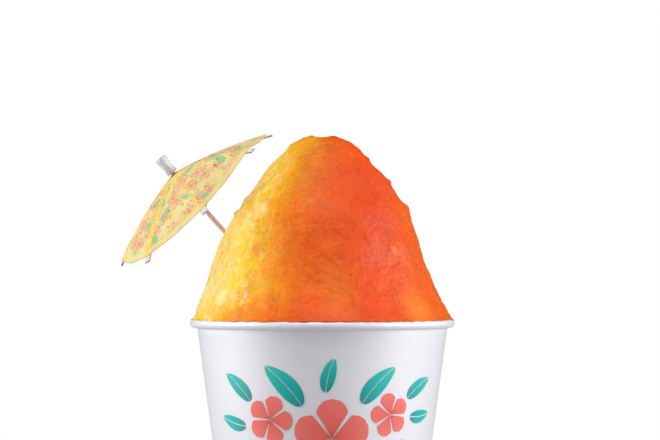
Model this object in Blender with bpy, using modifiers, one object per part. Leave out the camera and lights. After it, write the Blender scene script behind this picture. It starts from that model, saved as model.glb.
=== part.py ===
"""Shaved ice dessert: a white foam cup, a tall mound of syrup-soaked shaved ice and a small paper umbrella.

Units are metres and +Z is up. The origin is the centre of the cup's base, and the umbrella leans out towards -X.
"""

import math

import bmesh
import bpy
from mathutils import Vector, noise

MM = 0.001
GAP = 0.3 * MM
MERGE_DISTANCE = 0.01 * MM

# Cup
CUP_HEIGHT = 112 * MM
RIM_RADIUS = 58.5 * MM
RIM_BEAD_HEIGHT = 4.2 * MM
WALL_TOP_RADIUS = 55.2 * MM
BASE_RADIUS = 40.8 * MM
WALL_THICKNESS = 2.2 * MM
FLOOR_THICKNESS = 4.0 * MM
BASE_ROUNDING = 1.5 * MM
MOUTH_ROUNDING = 0.8 * MM
FLOOR_FILLET = 3.0 * MM
FOOT_WIDTH = 3.6 * MM
FOOT_RECESS = 1.2 * MM
CENTRE_PAD_RADIUS = 13 * MM
CUP_STEPS = 72

# Mound of ice: each row is a height above the rim and the reach to the left and to the right of the cup's axis
MOUND_OUTLINE_MM = (
    (80.0, 0.0, 0.0),
    (78.8, 8.3, 8.8),
    (75.0, 14.8, 15.4),
    (68.9, 20.9, 21.2),
    (62.0, 26.7, 26.9),
    (55.0, 31.8, 31.8),
    (48.0, 36.9, 37.0),
    (40.5, 41.2, 40.1),
    (31.8, 45.1, 43.1),
    (22.5, 48.6, 45.5),
    (13.2, 51.9, 49.4),
    (5.0, 54.9, 54.0),
    (0.0, 56.8, 57.2),
)
MOUND_RINGS = 42
FACE_WIDTH = 2.6 * MM
# Each roughness is the size of its bumps and how far they rise and fall
LUMPS = (19 * MM, 1.2 * MM)
BUMPS = (6.5 * MM, 1.2 * MM)
CRUMBS = (2.7 * MM, 0.9 * MM)
# The mound's lowest band hardly stands out, and its foot wanders a little in from the outline
FOOT_BAND = 5 * MM
FOOT_WANDER = 0.5
FOOT_SET_BACK = 0.3 * MM
# Each roughness reads the noise at another height, so that the three don't line up
NOISE_SHIFT = 7.3
SLOPE_STEP = 0.01
FEWEST_STEPS = 8
PLUG_STEPS = 72

# Umbrella: its own +Z runs up the stick, from the paper's apex
UMBRELLA_APEX = Vector((-65.7 * MM, -3.5 * MM, 175.8 * MM))
UMBRELLA_LEAN = math.radians(41.2)
UMBRELLA_NOD = math.radians(8.5)
RIB_COUNT = 8
RIB_LENGTH = 46.5 * MM
CANOPY_DROP = 15.0 * MM
CANOPY_BOW = 1.6 * MM
# How far each rib's tip hangs below the drop above, and how far the rib has swung round from an even spacing
RIB_DROOP_MM = (0.0, 1.2, -0.5, 0.8, -0.5, 2.4, 0.6, -4.4)
RIB_SWING_DEG = (0.0, 2.0, -1.0, 1.0, 0.0, -6.0, 0.0, 2.5)
PAPER_THICKNESS = 0.35 * MM
PAPER_SHARE_OF_RIB = 0.955
PAPER_HOLE_RADIUS = 1.5 * MM
CREASE_REACH = 0.932
CREASE_DEPTH = 0.7 * MM
CANOPY_RINGS = 7
RIB_WIDTHS = (2.0 * MM, 3.2 * MM)
RIB_THICKNESS = 0.7 * MM
RIB_BELOW_PAPER = 0.55 * MM
RIB_START = 3.9 * MM
STRUT_WIDTHS = (1.5 * MM, 1.5 * MM)
STRUT_THICKNESS = 0.6 * MM
STRUT_MEETS_RIB = 19 * MM
STICK_RADIUS = 1.0 * MM
STICK_TOP = 7.2 * MM
STICK_LENGTH = 100 * MM
STICK_POINT_LENGTH = 7 * MM
STICK_STEPS = 16
CAP_BOTTOM = 0.5 * MM
CAP_TOP = 8.7 * MM
CAP_RADIUS = 2.5 * MM
CAP_FLARE = 0.25 * MM
HUB_TOP = -1.7 * MM
HUB_BOTTOM = -4.2 * MM
HUB_RADIUS = 3.5 * MM
RUNNER_TOP = -14 * MM
RUNNER_BOTTOM = -20.5 * MM
RUNNER_RADIUS = 2.3 * MM
RING_STEPS = 18


def linear(hex_colour):
    """A Principled colour from an sRGB hex value."""
    parts = [int(hex_colour[i : i + 2], 16) / 255 for i in (0, 2, 4)]
    return [p / 12.92 if p <= 0.04045 else ((p + 0.055) / 1.055) ** 2.4 for p in parts] + [1.0]


def finish(name, hex_colour, roughness):
    """A plain Principled material."""
    material = bpy.data.materials.new(name)
    material.use_nodes = True
    shader = material.node_tree.nodes["Principled BSDF"]
    shader.inputs["Base Color"].default_value = linear(hex_colour)
    shader.inputs["Roughness"].default_value = roughness
    shader.inputs["Metallic"].default_value = 0.0
    return material


def add_object(name, mesh, material, collection, parent=None):
    piece = bpy.data.objects.new(name, mesh)
    collection.objects.link(piece)
    piece.parent = parent
    if material:
        mesh.materials.append(material)
    return piece


def mesh_of(bm, name):
    """Turns a bmesh into a mesh and frees it."""
    mesh = bpy.data.meshes.new(name)
    bm.to_mesh(mesh)
    bm.free()
    return mesh


def shade_round(mesh):
    mesh.shade_smooth()
    mesh.set_sharp_from_angle(angle=math.radians(35))


def arc(centre, radius, start, end, count):
    """Points of an arc in the (radius, height) plane, between two angles in degrees."""
    points = []
    for i in range(count + 1):
        angle = math.radians(start + (end - start) * i / count)
        points.append((centre[0] + radius * math.cos(angle), centre[1] + radius * math.sin(angle)))
    return points


def settle(piece):
    """Applies a piece's modifiers, then shades it smooth between its sharp edges."""
    shaped = piece.evaluated_get(bpy.context.evaluated_depsgraph_get())
    mesh = bpy.data.meshes.new_from_object(shaped)
    piece.modifiers.clear()
    piece.data = mesh
    shade_round(mesh)


def turned(name, profile, steps, material, collection, parent=None):
    """A solid turned round Z from a (radius, height) profile that runs down its outer side."""
    bm = bmesh.new()
    corners = [bm.verts.new((radius, 0, height)) for radius, height in profile]
    for first, second in zip(corners, corners[1:]):
        bm.edges.new((first, second))
    piece = add_object(name, mesh_of(bm, name), material, collection, parent)
    screw = piece.modifiers.new("Turn", "SCREW")
    screw.axis = "Z"
    screw.steps = steps
    screw.render_steps = steps
    screw.use_merge_vertices = True
    screw.merge_threshold = MERGE_DISTANCE
    settle(piece)
    return piece


def tube_profile(inner, outer, bottom, top, rounding):
    """A closed profile for a tube with rounded outer edges: up its bore and down its outside."""
    profile = [(inner, bottom), (inner, top)]
    profile += arc((outer - rounding, top - rounding), rounding, 90, 0, 3)
    profile += arc((outer - rounding, bottom + rounding), rounding, 0, -90, 3)
    return profile + [(inner, bottom)]


def wall_radius(height):
    """The cup's outer radius at a height, on its straight taper."""
    straight = CUP_HEIGHT - RIM_BEAD_HEIGHT
    return BASE_RADIUS + (WALL_TOP_RADIUS - BASE_RADIUS) * height / straight


def inner_radius(height):
    return wall_radius(height) - WALL_THICKNESS


def make_cup(collection):
    """The foam cup: floor, tapered wall, rolled bead, foot ring and the pad at the middle of its base."""
    half_bead = RIM_BEAD_HEIGHT / 2
    mouth_z = CUP_HEIGHT - MOUTH_ROUNDING
    fillet_z = FLOOR_THICKNESS + FLOOR_FILLET
    foot_inner = BASE_RADIUS - BASE_ROUNDING - FOOT_WIDTH
    profile = [(0, FLOOR_THICKNESS)]
    profile += arc((inner_radius(fillet_z) - FLOOR_FILLET, fillet_z), FLOOR_FILLET, -90, 0, 3)
    profile += arc((inner_radius(mouth_z) + MOUTH_ROUNDING, mouth_z), MOUTH_ROUNDING, 180, 90, 2)
    profile += arc((RIM_RADIUS - half_bead, CUP_HEIGHT - half_bead), half_bead, 90, -90, 8)
    profile += [(WALL_TOP_RADIUS, CUP_HEIGHT - RIM_BEAD_HEIGHT)]
    profile += arc((BASE_RADIUS - BASE_ROUNDING, BASE_ROUNDING), BASE_ROUNDING, 0, -90, 3)
    profile += [
        (foot_inner, 0),
        (foot_inner - FOOT_RECESS, FOOT_RECESS),
        (CENTRE_PAD_RADIUS + FOOT_RECESS, FOOT_RECESS),
        (CENTRE_PAD_RADIUS, 0),
        (0, 0),
    ]
    turned("cup", profile, CUP_STEPS, finish("white_foam", "F1F0F4", 0.75), collection)


def outline_row(along):
    """A smooth curve through the mound's outline, with along from 0 at the top to 1 at the rim, in metres."""
    rows = MOUND_OUTLINE_MM
    place = along * (len(rows) - 1)
    start = min(int(place), len(rows) - 2)
    t = place - start
    near = [Vector(rows[max(0, min(len(rows) - 1, start + step))]) for step in (-1, 0, 1, 2)]
    a, b, c, d = near
    bend = (2 * a - 5 * b + 4 * c - d) * t * t + (3 * b - a - 3 * c + d) * t**3
    return 0.5 * (2 * b + (c - a) * t + bend) * MM


def mound_point(along, angle):
    """A point of the smooth mound, before its bumps."""
    height, left, right = outline_row(along)
    reach = (left + right) / 2
    middle = (right - left) / 2
    return Vector((middle + reach * math.cos(angle), reach * math.sin(angle), CUP_HEIGHT + GAP + height))


def rise_at(point):
    """How far the packed ice stands out at a point: lumps, bumps and crumbs over each other."""
    rise = 0.0
    for number, (size, depth) in enumerate((LUMPS, BUMPS, CRUMBS)):
        rise += depth * noise.noise(point / size + Vector((0, 0, NOISE_SHIFT * number)))
    return rise


def rough_point(along, angle):
    """A point of the mound with its bumps, which fade out where it sits on the rim."""
    point = mound_point(along, angle)
    below = mound_point(min(1.0, along + SLOPE_STEP), angle)
    down = below - mound_point(max(0.0, along - SLOPE_STEP), angle)
    round_it = Vector((-math.sin(angle), math.cos(angle), 0))
    outward = round_it.cross(-down).normalized()
    above_rim = point.z - CUP_HEIGHT - GAP
    fade = min(1.0, above_rim / FOOT_BAND)
    level = Vector((point.x, point.y, 0)).normalized()
    foot = level * (rise_at(point) * FOOT_WANDER - FOOT_SET_BACK)
    return point + outward * rise_at(point) * fade + foot * (1 - fade)


def stitch(bm, upper, lower):
    """Joins two rings of unlike counts with triangles, in order of their angles."""
    i = j = 0
    while i < len(upper) or j < len(lower):
        top, low = upper[i % len(upper)], lower[j % len(lower)]
        if j >= len(lower) or (i < len(upper) and (i + 0.5) / len(upper) <= (j + 0.5) / len(lower)):
            bm.faces.new((top, low, upper[(i + 1) % len(upper)]))
            i += 1
        else:
            bm.faces.new((top, low, lower[(j + 1) % len(lower)]))
            j += 1


def turns(count):
    """Evenly spaced angles round a full turn."""
    return [math.tau * i / count for i in range(count)]


def ring_of(bm, points):
    return [bm.verts.new(point) for point in points]


def close_ring(bm, ring, middle, facing_up):
    """Fans a ring in to a middle point."""
    centre = bm.verts.new(middle)
    for first, second in zip(ring, ring[1:] + ring[:1]):
        bm.faces.new((first, second, centre) if facing_up else (second, first, centre))


def make_stick_hole(cutters, umbrella):
    """The cutter for the hole that the stick stands in, from clear of the mound to just past the stick's point."""
    bottom = STICK_TOP - STICK_LENGTH - GAP
    radius = STICK_RADIUS + GAP
    profile = [(0, RUNNER_BOTTOM), (radius, RUNNER_BOTTOM), (radius, bottom + STICK_POINT_LENGTH / 2), (0, bottom)]
    hole = turned("stick_hole", profile, STICK_STEPS, None, cutters, umbrella)
    hole.hide_render = True
    hole.display_type = "WIRE"
    return hole


def make_ice(collection, cutters, umbrella):
    """The ice: a plug that fills the cup and the rough mound above it, with the stick's hole."""
    bm = bmesh.new()
    rings = []
    for row in range(1, MOUND_RINGS + 1):
        along = row / MOUND_RINGS
        count = max(FEWEST_STEPS, round(math.tau * mound_point(along, 0).x / FACE_WIDTH))
        rings.append(ring_of(bm, [rough_point(along, angle) for angle in turns(count)]))
    mouth_z = CUP_HEIGHT - MOUTH_ROUNDING
    plug_floor = FLOOR_THICKNESS + GAP
    fillet_z = FLOOR_THICKNESS + FLOOR_FILLET
    plug = [
        (inner_radius(mouth_z) - GAP + MOUTH_ROUNDING / 2, CUP_HEIGHT + GAP),
        (inner_radius(mouth_z) - GAP, mouth_z),
        (inner_radius(fillet_z) - GAP, fillet_z),
        (inner_radius(fillet_z) - GAP - FLOOR_FILLET, plug_floor),
    ]
    for radius, height in plug:
        circle = [(radius * math.cos(angle), radius * math.sin(angle), height) for angle in turns(PLUG_STEPS)]
        rings.append(ring_of(bm, circle))
    close_ring(bm, rings[0], rough_point(0.0, 0.0), facing_up=True)
    for upper, lower in zip(rings, rings[1:]):
        stitch(bm, upper, lower)
    close_ring(bm, rings[-1], (0, 0, plug_floor), facing_up=False)
    mesh = mesh_of(bm, "shaved_ice")
    shade_round(mesh)
    ice = add_object("shaved_ice", mesh, finish("syrup_ice", "F2822F", 0.5), collection)
    cut = ice.modifiers.new("Stick hole", "BOOLEAN")
    cut.operation = "DIFFERENCE"
    cut.object = make_stick_hole(cutters, umbrella)


def rib_angle(index):
    index %= RIB_COUNT
    return math.radians(360 * index / RIB_COUNT + RIB_SWING_DEG[index])


def rib_drop(index):
    """How far this rib's tip lies below the paper's apex."""
    return CANOPY_DROP + RIB_DROOP_MM[index % RIB_COUNT] * MM


def profile_drop(drop, share):
    """How far the bowed canopy has come down at a share of its reach."""
    return drop * share - 4 * CANOPY_BOW * share * (1 - share)


def on_rib(index, share):
    """A point of the canopy's outer surface over a rib."""
    drop = rib_drop(index)
    reach = math.sqrt(RIB_LENGTH**2 - drop**2)
    angle = rib_angle(index)
    out = reach * share
    return Vector((out * math.cos(angle), out * math.sin(angle), -profile_drop(drop, share)))


def on_crease(index, share):
    """A point of the canopy's outer surface on the crease after a rib, which is a shallow valley."""
    middle = (on_rib(index, share) + on_rib(index + 1, share)) / 2
    pull = CREASE_REACH / math.cos(math.pi / RIB_COUNT)
    return Vector((middle.x * pull, middle.y * pull, middle.z - CREASE_DEPTH * share))


def make_canopy(collection, parent):
    """The folded paper: a ridge over each rib and a crease between, given its thickness by Solidify."""
    bm = bmesh.new()
    hole_share = PAPER_HOLE_RADIUS / RIB_LENGTH
    rings = []
    for row in range(CANOPY_RINGS + 1):
        share = hole_share + (PAPER_SHARE_OF_RIB - hole_share) * row / CANOPY_RINGS
        ring = []
        for index in range(RIB_COUNT):
            ring += [bm.verts.new(on_rib(index, share)), bm.verts.new(on_crease(index, share))]
        rings.append(ring)
    for inner, outer in zip(rings, rings[1:]):
        for i in range(len(inner)):
            j = (i + 1) % len(inner)
            bm.faces.new((inner[i], outer[i], outer[j], inner[j]))
    paper = finish("printed_paper", "F0DC96", 0.85)
    canopy = add_object("umbrella_canopy", mesh_of(bm, "umbrella_canopy"), paper, collection, parent)
    thick = canopy.modifiers.new("Paper", "SOLIDIFY")
    thick.thickness = PAPER_THICKNESS
    thick.offset = -1


def make_strip(name, path, angle, widths, thickness, material, collection, parent):
    """A flat strip below a path of (radius, height) points at one angle, with its width at each end."""
    sideways = Vector((-math.sin(angle), math.cos(angle), 0))
    bm = bmesh.new()
    pairs = []
    for place, (radius, height) in enumerate(path):
        point = Vector((radius * math.cos(angle), radius * math.sin(angle), height))
        share = place / (len(path) - 1)
        half = sideways * (widths[0] + (widths[1] - widths[0]) * share) / 2
        pairs.append((bm.verts.new(point - half), bm.verts.new(point + half)))
    for (a, b), (c, d) in zip(pairs, pairs[1:]):
        bm.faces.new((a, c, d, b))
    strip = add_object(name, mesh_of(bm, name), material, collection, parent)
    solid = strip.modifiers.new("Board", "SOLIDIFY")
    solid.thickness = thickness
    solid.offset = -1


def rib_path(index, start, end, count):
    """Points of a rib's upper face, a little below the paper."""
    path = []
    for i in range(count + 1):
        point = on_rib(index, start + (end - start) * i / count)
        path.append((math.hypot(point.x, point.y), point.z - PAPER_THICKNESS - RIB_BELOW_PAPER))
    return path


def make_ribs_and_struts(collection, parent):
    """Eight card ribs under the folds and the strut that props each one from the runner."""
    card = finish("card", "E2D6D6", 0.8)
    for index in range(RIB_COUNT):
        angle = rib_angle(index)
        path = rib_path(index, RIB_START / RIB_LENGTH, 1.0, 6)
        make_strip(f"rib_{index + 1}", path, angle, RIB_WIDTHS, RIB_THICKNESS, card, collection, parent)
        share = STRUT_MEETS_RIB / RIB_LENGTH
        meets = rib_path(index, share, share, 1)[0]
        strut = [
            (RUNNER_RADIUS + GAP + STRUT_THICKNESS / 2, RUNNER_TOP - STRUT_THICKNESS),
            (meets[0], meets[1] - RIB_THICKNESS - 2 * GAP),
        ]
        name = f"strut_{index + 1}"
        make_strip(name, strut, angle, STRUT_WIDTHS, STRUT_THICKNESS, card, collection, parent)


def make_stick(collection, parent):
    """The round pick that carries the umbrella, pointed at its lower end."""
    bottom = STICK_TOP - STICK_LENGTH
    profile = [(0, STICK_TOP), (STICK_RADIUS, STICK_TOP), (STICK_RADIUS, bottom + STICK_POINT_LENGTH), (0, bottom)]
    turned("umbrella_stick", profile, STICK_STEPS, finish("birch", "C8A593", 0.7), collection, parent)


def make_rings(collection, parent):
    """The cap above the paper, the hub under it and the runner that the struts push against."""
    bore = STICK_RADIUS + GAP
    cap = [(bore, CAP_BOTTOM), (bore, CAP_TOP)]
    cap += arc((CAP_RADIUS - CAP_FLARE, CAP_TOP - 2 * CAP_FLARE), 2 * CAP_FLARE, 90, 0, 3)
    cap += [(CAP_RADIUS - CAP_FLARE, (CAP_TOP + CAP_BOTTOM) / 2), (CAP_RADIUS, CAP_BOTTOM), (bore, CAP_BOTTOM)]
    turned("umbrella_cap", cap, RING_STEPS, finish("frosted_plastic", "D6D5DC", 0.45), collection, parent)
    paper = finish("rolled_paper", "DDD6E0", 0.8)
    hub = tube_profile(bore, HUB_RADIUS, HUB_BOTTOM, HUB_TOP, GAP)
    turned("umbrella_hub", hub, RING_STEPS, paper, collection, parent)
    runner = tube_profile(bore, RUNNER_RADIUS, RUNNER_BOTTOM, RUNNER_TOP, GAP)
    turned("umbrella_runner", runner, RING_STEPS, paper, collection, parent)


def main():
    for item in list(bpy.data.objects):
        bpy.data.objects.remove(item)
    dessert = bpy.data.collections.new("shaved_ice_dessert")
    cutters = bpy.data.collections.new("cutters")
    for collection in (dessert, cutters):
        bpy.context.scene.collection.children.link(collection)
    umbrella = bpy.data.objects.new("umbrella_frame", None)
    umbrella.location = UMBRELLA_APEX
    umbrella.rotation_euler = (UMBRELLA_NOD, -UMBRELLA_LEAN, 0)
    dessert.objects.link(umbrella)

    make_cup(dessert)
    make_ice(dessert, cutters, umbrella)
    make_stick(dessert, umbrella)
    make_canopy(dessert, umbrella)
    make_ribs_and_struts(dessert, umbrella)
    make_rings(dessert, umbrella)


main()
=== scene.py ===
# %% [markdown]
# # A shaved ice dessert with a paper umbrella
# The real dessert is three things put together: a white foam cup, a mound of fine shaved ice
# soaked with yellow, orange and red syrup, and a small paper umbrella pushed into its side.
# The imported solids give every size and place. This lesson adds the finish of each surface,
# the grains of the ice, the folds of the paper and the print on the cup and on the paper.

import math

import bmesh
import bpy
import numpy as np
from mathutils import Euler, Matrix, Vector, noise


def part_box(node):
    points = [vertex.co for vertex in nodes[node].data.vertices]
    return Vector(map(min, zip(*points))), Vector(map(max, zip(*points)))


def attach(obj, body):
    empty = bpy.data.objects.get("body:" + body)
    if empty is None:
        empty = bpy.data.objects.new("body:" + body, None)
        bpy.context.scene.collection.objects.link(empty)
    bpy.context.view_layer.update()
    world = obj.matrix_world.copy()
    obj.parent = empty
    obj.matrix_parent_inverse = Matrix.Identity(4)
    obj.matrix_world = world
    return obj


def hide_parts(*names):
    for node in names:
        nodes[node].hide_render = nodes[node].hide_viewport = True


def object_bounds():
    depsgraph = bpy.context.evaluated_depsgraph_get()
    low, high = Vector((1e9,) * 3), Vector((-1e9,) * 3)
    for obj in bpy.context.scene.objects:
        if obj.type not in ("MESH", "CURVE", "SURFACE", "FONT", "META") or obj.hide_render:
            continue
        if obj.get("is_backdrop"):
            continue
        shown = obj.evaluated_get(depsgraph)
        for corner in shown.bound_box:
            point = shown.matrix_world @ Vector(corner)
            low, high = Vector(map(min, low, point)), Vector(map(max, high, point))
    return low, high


MM = 0.001
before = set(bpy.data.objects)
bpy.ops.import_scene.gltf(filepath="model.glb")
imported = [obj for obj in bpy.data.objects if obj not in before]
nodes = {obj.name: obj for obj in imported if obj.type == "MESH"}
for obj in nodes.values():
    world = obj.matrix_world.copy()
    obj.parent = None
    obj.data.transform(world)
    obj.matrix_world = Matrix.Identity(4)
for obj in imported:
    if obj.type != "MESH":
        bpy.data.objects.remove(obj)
cad_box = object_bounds()
print("solids:", len(nodes), "size in mm:", [round(size / MM, 1) for size in cad_box[1] - cad_box[0]])


# %% [markdown]
# ## Camera
# The photograph was taken from far away and level with the middle of the mound, which keeps
# the cup's rim almost a straight line. A long lens does the same here. Its focal length comes
# from how many millimetres of the cup one pixel of the picture covers.

# %% Put the camera where the photographer stood
PICTURE_WIDTH = 660
CAMERA_DISTANCE = 2.05
CAMERA_HEIGHT = 155.3 * MM
CAMERA_ASIDE = 3.4 * MM
PIXEL_AT_CUP = 0.4415 * MM
SENSOR_WIDTH = 36


def add_object(name, data):
    """A new object in the scene, at the origin, that shows this mesh, lamp or camera."""
    made = bpy.data.objects.new(name, data)
    bpy.context.scene.collection.objects.link(made)
    return made


camera = add_object("camera", bpy.data.cameras.new("camera"))
camera.location = (CAMERA_ASIDE, -CAMERA_DISTANCE, CAMERA_HEIGHT)
camera.rotation_euler = (math.radians(90), 0, 0)
camera.data.sensor_width = SENSOR_WIDTH
camera.data.lens = SENSOR_WIDTH * CAMERA_DISTANCE / (PICTURE_WIDTH * PIXEL_AT_CUP)
bpy.context.scene.camera = camera
bpy.context.scene.view_settings.view_transform = "Standard"
print("lens in mm:", round(camera.data.lens, 1))


# %% [markdown]
# ## Colours and nodes
# Colours are picked as they look on a screen, and the renderer wants them as amounts of
# light, so one function turns the first into the second. Another adds a node, sets it and
# links it in one go, and two more start a material and fill a ramp of colours.

# %% Helpers for every finish
def screen(hex_colour):
    """Amounts of red, green and blue light from an sRGB hex value."""
    parts = [int(hex_colour[i : i + 2], 16) / 255 for i in (0, 2, 4)]
    return [p / 12.92 if p <= 0.04045 else ((p + 0.055) / 1.055) ** 2.4 for p in parts] + [1.0]


def feed(node, feeds):
    """Fills a node's inputs, each given by name or number, with a value or another node's output."""
    for name, value in feeds.items():
        if isinstance(value, bpy.types.NodeSocket):
            node.id_data.links.new(value, node.inputs[name])
        else:
            node.inputs[name].default_value = value


def add_node(tree, kind, feeds=None, **settings):
    """Adds a node to a tree with its settings and feeds its inputs."""
    node = tree.nodes.new(kind)
    for name, value in settings.items():
        setattr(node, name, value)
    feed(node, feeds or {})
    return node


def new_finish(name, roughness, ior=1.45):
    """A new material: its node tree and its Principled shader."""
    material = bpy.data.materials.new(name)
    material.use_nodes = True
    shader = material.node_tree.nodes["Principled BSDF"]
    feed(shader, {"Roughness": roughness, "IOR": ior})
    return material, material.node_tree, shader


def fill_ramp(ramp, stops):
    """Puts (place from 0 to 1, hex colour) stops on a colour ramp."""
    elements = ramp.color_ramp.elements
    for _ in stops[2:]:
        elements.new(0.5)
    for element, (place, hex_colour) in zip(elements, stops):
        element.position = place
        element.color = screen(hex_colour)
    return ramp.outputs[0]


print("a mid grey on the screen is this much light:", round(screen("808080")[0], 3))


# %% [markdown]
# ## Studio
# The photograph has a pure white ground, two big soft lights at the sides and nothing bright
# behind the camera: the cup is light at both sides and darker in the middle. Three suns with
# a wide disc make that light without noise. The pale floor throws back the rest.

# %% Floor, sky and lights
FLOOR_SIZE = 2.3
FLOOR_GREY = "B0B0B2"
SIDE_LIGHT = 3.8
SIDE_WIDTH = math.radians(50)
LEFT_AZIMUTH = -87
RIGHT_AZIMUTH = 80
SIDE_ELEVATION = 4
TOP_LIGHT = 1.85
TOP_WIDTH = math.radians(40)
TOP_ELEVATION = 70
# The sky looks white behind the dessert, but gives it only a little light
SKY_SEEN = 1.0
SKY_LIGHT = 0.015

floor_mesh = bpy.data.meshes.new("floor")
half = FLOOR_SIZE / 2
corners = [(-half, -half, 0), (half, -half, 0), (half, half, 0), (-half, half, 0)]
floor_mesh.from_pydata(corners, [], [(0, 1, 2, 3)])
floor = add_object("floor", floor_mesh)
paper_floor, _, shader = new_finish("white_paper_ground", roughness=0.9)
feed(shader, {"Base Color": screen(FLOOR_GREY)})
floor_mesh.materials.append(paper_floor)
floor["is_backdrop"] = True


def add_sun(name, azimuth, elevation, strength, width):
    """A soft light from one side. Azimuth 0 comes from the camera and 90 from the right."""
    lamp = bpy.data.lights.new(name, "SUN")
    lamp.energy = strength
    lamp.angle = width
    around, above = math.radians(azimuth), math.radians(elevation)
    level = math.cos(above)
    towards = Vector((math.sin(around) * level, -math.cos(around) * level, math.sin(above)))
    add_object(name, lamp).rotation_euler = towards.to_track_quat("Z", "Y").to_euler()


add_sun("light_left", LEFT_AZIMUTH, SIDE_ELEVATION, SIDE_LIGHT, SIDE_WIDTH)
add_sun("light_right", RIGHT_AZIMUTH, SIDE_ELEVATION, SIDE_LIGHT, SIDE_WIDTH)
add_sun("light_top", 0, TOP_ELEVATION, TOP_LIGHT, TOP_WIDTH)

world = bpy.data.worlds.new("white_sky")
bpy.context.scene.world = world
world.use_nodes = True
sky = world.node_tree
seen = add_node(sky, "ShaderNodeLightPath").outputs["Is Camera Ray"]
feeds = {0: seen, "To Min": SKY_LIGHT, "To Max": SKY_SEEN}
brightness = add_node(sky, "ShaderNodeMapRange", feeds).outputs[0]
feed(sky.nodes["Background"], {"Color": (1, 1, 1, 1), "Strength": brightness})


# %% [markdown]
# ## The mound's outline
# A machine shaves the ice into snow, and someone packs it by hand into a rounded cone that
# covers the rim. Its outline is a smooth curve through a few heights, each with the reach to
# the left and to the right. These are the rows that the solid was made from, so the skin
# made here keeps its form. Rings one small step apart follow the curve down from the top.

# %% Rows of the outline, and rings an even step apart
# Each row is a height over the mound's foot, and how far it reaches to the left and to the right
MOUND_OUTLINE_MM = (
    (80.0, 0.0, 0.0),
    (78.8, 8.3, 8.8),
    (75.0, 14.8, 15.4),
    (68.9, 20.9, 21.2),
    (62.0, 26.7, 26.9),
    (55.0, 31.8, 31.8),
    (48.0, 36.9, 37.0),
    (40.5, 41.2, 40.1),
    (31.8, 45.1, 43.1),
    (22.5, 48.6, 45.5),
    (13.2, 51.9, 49.4),
    (5.0, 54.9, 54.0),
    (0.0, 56.8, 57.2),
)
SKIN_STEP = 0.52 * MM
FINE_STEPS = 600
CUP_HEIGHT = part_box("cup")[1].z
FOOT_HEIGHT = CUP_HEIGHT + 0.1 * MM


def outline_row(along):
    """A smooth curve through the outline, with along from 0 at the top to 1 at the rim, in metres."""
    rows = MOUND_OUTLINE_MM
    place = along * (len(rows) - 1)
    start = min(int(place), len(rows) - 2)
    t = place - start
    a, b, c, d = [Vector(rows[max(0, min(len(rows) - 1, start + step))]) for step in (-1, 0, 1, 2)]
    bend = (2 * a - 5 * b + 4 * c - d) * t * t + (3 * b - a - 3 * c + d) * t**3
    return 0.5 * (2 * b + (c - a) * t + bend) * MM


def even_rings():
    """Height, mean reach, middle and slope normal of rings one step apart down the mound."""
    fine = np.array([outline_row(i / FINE_STEPS) for i in range(FINE_STEPS + 1)])
    height, reach, middle = fine[:, 0], (fine[:, 1] + fine[:, 2]) / 2, (fine[:, 2] - fine[:, 1]) / 2
    run = np.concatenate([[0], np.cumsum(np.hypot(np.diff(reach), np.diff(height)))])
    even = np.linspace(0, run[-1], round(run[-1] / SKIN_STEP) + 1)
    height, reach, middle = (np.interp(even, run, column) for column in (height, reach, middle))
    down, out = np.gradient(height), np.gradient(reach)
    length = np.hypot(down, out)
    return list(zip(height, reach, middle, -down / length, out / length))


rings = even_rings()
print("rings:", len(rings), "down a slope of", round(len(rings) * SKIN_STEP / MM), "mm")


# %% [markdown]
# ## The skin of the ice
# Packed snow is rough at every size: lumps a thumb wide, crumbs, and grains of about a
# millimetre. A fine mesh carries all of that as real relief, and noise read at each point of
# space gives it without a seam. The lumps repeat the solid's. A few knobs and nicks that
# break the photographed outline are listed and added as soft bumps.

# %% Relief of the packed ice
# Each roughness is the size of its bumps and how far they rise and fall
LUMPS = (19 * MM, 1.2 * MM)
BUMPS = (6.5 * MM, 0.42 * MM)
CRUMBS = (2.7 * MM, 0.2 * MM)
GRAINS = (1.35 * MM, 0.18 * MM)
# Each roughness reads the noise at another height, so that they don't line up
NOISE_SHIFT = 7.3
FLAKE_SIZE = 2.1 * MM
FLAKE_RISE = 0.1 * MM
FLAKE_LEVEL = 0.35
FOOT_BAND = 5 * MM
FOOT_WANDER = 0.5
# A knob is felt up to this many of its own widths away
KNOB_REACH = 3
# Knobs and nicks: a point of the outline in mm (x, y, z), how wide, and how far it stands out
KNOBS_MM = (
    ((-4.6, -2, 192.5), 1.5, 1.0),
    ((-1.5, -2, 192.0), 2.6, -0.9),
    ((20.6, 0, 182.8), 1.6, 1.1),
    ((29.3, 0, 172.0), 1.9, 1.3),
    ((30.0, 0, 169.6), 1.4, -0.8),
    ((37.2, 0, 160.9), 2.6, 1.2),
    ((-33.6, 0, 164.2), 2.4, 1.1),
    ((-38.0, 0, 158.2), 1.5, 1.0),
    ((-40.0, 0, 155.6), 2.0, -0.7),
    ((-13.8, 0, 188.4), 1.1, 0.6),
    ((-17.0, 0, 186.3), 1.8, -1.1),
    ((5.2, -2, 192.6), 2.6, 1.0),
    ((32.8, 0, 166.0), 2.4, -1.3),
    ((42.0, 0, 146.0), 2.6, 0.6),
    ((29.5, -33, 140.9), 2.3, -0.5),
    ((29.5, -32, 143.3), 1.7, 0.6),
)
KNOBS = [(Vector(place) * MM, width * MM, rise * MM) for place, width, rise in KNOBS_MM]


def rise_at(point):
    """How far the ice stands out from the smooth mound at a point."""
    rise = 0.0
    for number, (size, depth) in enumerate((LUMPS, BUMPS, CRUMBS, GRAINS)):
        rise += depth * noise.noise(point / size + Vector((0, 0, NOISE_SHIFT * number)))
    nearest = noise.voronoi(point / FLAKE_SIZE)[0][0]
    rise += FLAKE_RISE * (FLAKE_LEVEL - nearest)
    for place, width, height in KNOBS:
        away = (point - place).length / width
        if away < KNOB_REACH:
            rise += height * math.exp(-away * away)
    return rise


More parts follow.
